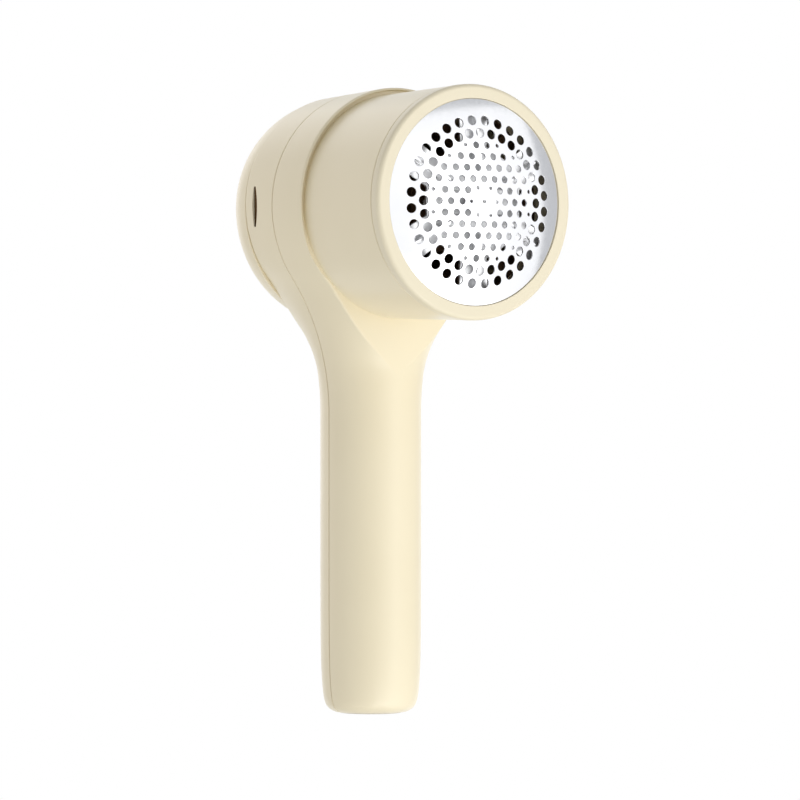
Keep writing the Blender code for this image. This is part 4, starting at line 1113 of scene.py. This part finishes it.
def build_object():
    tints = (0.850, 0.760, 0.548), (0.870, 0.780, 0.568)
    cream = surface("satin_cream_abs", "cream_abs", *tints, (0.29, 0.35), 0.0, 35.0, 2600.0, 0.0025)
    # painted shade: a darker, greyer copy of the shell's cream for the collar, which is the same cream
    # plastic; the difference stands for how the collar is lit
    tints = (0.805, 0.728, 0.540), (0.825, 0.748, 0.560)
    collar_painted_shade_cream = surface("satin_cream_abs_collar_shade", "cream_abs", *tints, (0.29, 0.35), 0.0, 35.0)
    mirror = (0.90, 0.90, 0.91), (0.95, 0.95, 0.955), (0.10, 0.15)
    foil_steel = surface("polished_foil_steel", "polished_steel", *mirror, 1.0, 90.0, 900.0, 0.0004)
    ground = (0.95, 0.95, 0.955), (0.98, 0.98, 0.98), (0.36, 0.44)
    cutter_steel = surface("ground_cutter_steel", "polished_steel", *ground, 1.0, grain_depth=0.0002)
    steel = surface("plated_steel", "steel", (0.55, 0.55, 0.57), (0.66, 0.66, 0.67), (0.22, 0.34), 1.0)
    tints = (0.46, 0.47, 0.50), (0.62, 0.63, 0.65)
    zinc = surface("zinc_sheet", "zinc_plate", *tints, (0.26, 0.42), 1.0, 700.0, stretch=(1.0, 0.15, 1.0))
    brass = surface("brass", "brass", (0.62, 0.42, 0.16), (0.78, 0.58, 0.28), (0.26, 0.40), 1.0)
    nickel = surface("nickel_strip", "nickel", (0.56, 0.53, 0.48), (0.68, 0.65, 0.60), (0.24, 0.36), 1.0)
    tints = (0.016, 0.016, 0.018), (0.026, 0.026, 0.028)
    black = surface("black_nylon", "black_plastic", *tints, (0.42, 0.56))
    # painted shade: the flat dark brown of the sheets behind the side slots stands for the shadow inside
    # the slots
    tints = (0.105, 0.055, 0.020), (0.125, 0.066, 0.026)
    slot_shade = surface("painted_slot_shade", "brown_plastic", *tints, (0.85, 0.98), specular=0.1)
    tints = (0.17, 0.10, 0.058), (0.21, 0.125, 0.075)
    brown = surface("brown_nylon", "brown_plastic", *tints, (0.60, 0.75), specular=0.15)
    tints = (0.035, 0.035, 0.040), (0.065, 0.065, 0.070)
    ferrite = surface("ferrite", "ferrite", *tints, (0.55, 0.72), grain_depth=0.02)
    rubber = surface("seal_rubber", "seal_rubber", (0.05, 0.05, 0.052), (0.08, 0.08, 0.08), (0.62, 0.78))
    tints = (0.05, 0.05, 0.055), (0.12, 0.12, 0.125)
    foam = surface("cell_foam", "foam", *tints, (0.85, 0.98), grain_depth=0.15)
    tints = (0.60, 0.545, 0.435), (0.64, 0.585, 0.470)
    grey = surface("satin_warm_grey_abs", "warm_grey_plastic", *tints, (0.40, 0.50), grain=2600.0)
    tints = (0.035, 0.15, 0.34), (0.06, 0.22, 0.44)
    sleeve = surface("cell_sleeve", "cell_sleeve", *tints, (0.24, 0.36), mottle=25.0, coat=0.3)
    lamp = surface("led_package", "led_package", (0.80, 0.76, 0.48), (0.88, 0.85, 0.60), (0.2, 0.3))
    tints = (0.82, 0.84, 0.83), (0.90, 0.92, 0.91)
    clear = surface("frosted_lens", "lens_plastic", *tints, (0.12, 0.22), subsurface=0.4)
    wires = []
    for colour, low, high in (
        ("red", (0.48, 0.018, 0.012), (0.60, 0.035, 0.025)),
        ("black", (0.014, 0.014, 0.015), (0.024, 0.024, 0.024)),
        ("white", (0.74, 0.74, 0.72), (0.84, 0.84, 0.82)),
    ):
        wires.append(surface(f"{colour}_insulation", f"{colour}_insulation", low, high, (0.34, 0.46)))
    red, dark, white = wires
    copper = wound_copper()
    board = board_green()

    make_front_shell(cream)
    make_rear_shell(cream)
    # dark sheets behind the side slots, whose colour is painted shade
    make_slot_shade_sheets(slot_shade)
    make_foil(foil_steel)
    make_collar(collar_painted_shade_cream)
    make_bin(cream, rubber)
    make_duct(brown)
    make_cutter(cutter_steel)
    make_button(grey)
    make_lens(clear)
    make_base_plate(grey)
    make_socket(steel)
    make_screws(steel)

    # Finish, bevel in millimetres, body, and the CAD nodes that have them
    for finish, edge, body, *nodes in (
        (zinc, 0.12, "housing", "motor_can"),
        (black, 0.12, "housing", "motor_end_bell"),
        (brass, 0.10, "housing", "motor_bushing"),
        (ferrite, 0.10, "housing", "motor_magnet_left", "motor_magnet_right"),
        (brass, 0.08, "housing", "motor_terminal_left", "motor_terminal_right"),
        (steel, 0.10, "housing", "motor_screw_left", "motor_screw_right"),
        (brown, 0.15, "housing", "motor_mount"),
        (steel, 0.10, "rotor", "motor_shaft"),
        (copper, 0.15, "rotor", "armature"),
        (copper, 0.08, "rotor", "commutator"),
        (black, 0.12, "rotor", "cutter_hub"),
        (steel, 0.10, "rotor", "cutter_screw"),
        (sleeve, 0.12, "housing", "battery_cell"),
        (nickel, 0.06, "housing", "battery_tab_top", "battery_tab_bottom"),
        (foam, 0.20, "housing", "battery_pad"),
        (board, 0.08, "housing", "main_board", "usb_board"),
        (black, 0.12, "housing", "switch_body"),
        (lamp, 0.08, "housing", "status_led"),
        (black, 0.10, "switch_plunger", "switch_plunger"),
        (red, 0.0, "housing", "wire_battery_red"),
        (dark, 0.0, "housing", "wire_battery_black"),
        (red, 0.0, "housing", "wire_motor_red"),
        (dark, 0.0, "housing", "wire_motor_black"),
        (white, 0.0, "housing", "wire_charging"),
    ):
        for node in nodes:
            refined(node, finish, edge, body)


# ---- Studio


def make_camera():
    """Level with the middle of the object, left of its front."""
    angle = radians(VIEW_AZIMUTH)
    back = Vector((-sin(angle), -cos(angle), 0.0))
    right = Vector((cos(angle), -sin(angle), 0.0))
    camera = new_object("camera", bpy.data.cameras.new("camera"))
    camera.location = back * VIEW_DISTANCE + right * VIEW_OFFSET + Vector((0, 0, VIEW_HEIGHT))
    camera.rotation_mode = "QUATERNION"
    camera.rotation_quaternion = (-back).to_track_quat("-Z", "Y")
    camera.data.lens = VIEW_LENS
    camera.data.sensor_width = 36.0
    camera.data.clip_start = 0.01
    camera.data.clip_end = 50.0
    bpy.context.scene.camera = camera


def softbox(name, azimuth, elevation, half_wide, half_high, radiance, tint=(1.0, 1.0, 1.0)):
    """An area light aimed at the middle of the object, with its place and half its spread in degrees.

    Azimuth 0 is in front of the foil, 90 at the object's +X side.
    """
    a = radians(azimuth)
    e = radians(elevation)
    out = Vector((sin(a) * cos(e), -cos(a) * cos(e), sin(e)))
    data = bpy.data.lights.new(name, "AREA")
    data.shape = "RECTANGLE"
    data.size = 2 * SOFTBOX_DISTANCE * tan(radians(half_wide))
    data.size_y = 2 * SOFTBOX_DISTANCE * tan(radians(half_high))
    data.energy = pi * data.size * data.size_y * radiance
    data.color = tint
    light = new_object(name, data)
    light.location = (CAD_BOX[0] + CAD_BOX[1]) / 2 + out * SOFTBOX_DISTANCE
    light.rotation_mode = "QUATERNION"
    light.rotation_quaternion = (-out).to_track_quat("-Z", "Y")


def make_floor():
    """A plain white floor that lights nothing and is clear from below."""
    corners = [(FLOOR_HALF * x, FLOOR_HALF * y, FLOOR_Z) for x, y in SQUARE]
    floor = mesh_object("floor", corners, [(0, 1, 2, 3)])
    made = bpy.data.materials.new("white_floor")
    made.use_nodes = True
    tree = made.node_tree
    tree.nodes.remove(tree.nodes["Principled BSDF"])
    mixed = {
        "Fac": add_node(tree, "NewGeometry").outputs["Backfacing"],
        1: add_node(tree, "Emission", {"Color": WHITE, "Strength": 1.0}).outputs["Emission"],
        2: add_node(tree, "BsdfTransparent").outputs["BSDF"],
    }
    shown = add_node(tree, "MixShader", mixed).outputs["Shader"]
    set_inputs(tree, tree.nodes["Material Output"], {"Surface": shown})
    floor.data.materials.append(made)
    floor.visible_diffuse = False
    floor.visible_glossy = False
    floor.visible_shadow = False


def make_world():
    """White behind the object, and a grey room that shows a little brighter in reflections."""
    world = bpy.data.worlds.new("studio")
    bpy.context.scene.world = world
    world.use_nodes = True
    tree = world.node_tree
    room = {"Color": (0.99, 0.995, 1.0, 1.0), "Strength": ROOM_LIGHT}
    lit = set_inputs(tree, tree.nodes["Background"], room).outputs["Background"]
    mirrored = add_node(tree, "Background", {"Color": (0.94, 0.96, 1.0, 1.0), "Strength": ROOM_REFLECTION})
    backdrop = add_node(tree, "Background", {"Color": WHITE})
    ray = add_node(tree, "LightPath")
    for kind, seen in (("Is Glossy Ray", mirrored), ("Is Camera Ray", backdrop)):
        mixed = {"Fac": ray.outputs[kind], 1: lit, 2: seen.outputs["Background"]}
        lit = add_node(tree, "MixShader", mixed).outputs["Shader"]
    set_inputs(tree, tree.nodes["World Output"], {"Surface": lit})


def make_studio():
    make_camera()
    make_floor()
    make_world()
    pink = (1.0, 0.91, 0.88)
    softbox("key", 25, -4, 39, 38, 0.50)
    softbox("key_strip", 25, 0, 14, 24, 1.07)
    softbox("front_low", 0, -38, 19, 19, 1.45)
    softbox("right_low", 30, -38, 19, 19, 0.62)
    softbox("key_low", 33, -55, 30, 14, 0.42)
    softbox("camera_low", -38, -45, 19, 19, 0.19)
    softbox("left", -95, 0, 24, 28, 0.33)
    softbox("left_low", -95, -48, 24, 18, 0.25)
    softbox("rear_left", -140, 0, 19, 26, 0.50, pink)
    softbox("rear_rim", -172, 22, 22, 26, 0.45, pink)
    softbox("rear_high", 180, 38, 19, 19, 0.34)
    softbox("backdrop", 150, 0, 40, 40, 0.60)
    bpy.data.objects["backdrop"].visible_diffuse = False
    bpy.context.scene.view_settings.view_transform = "Standard"


build_object()
make_studio()
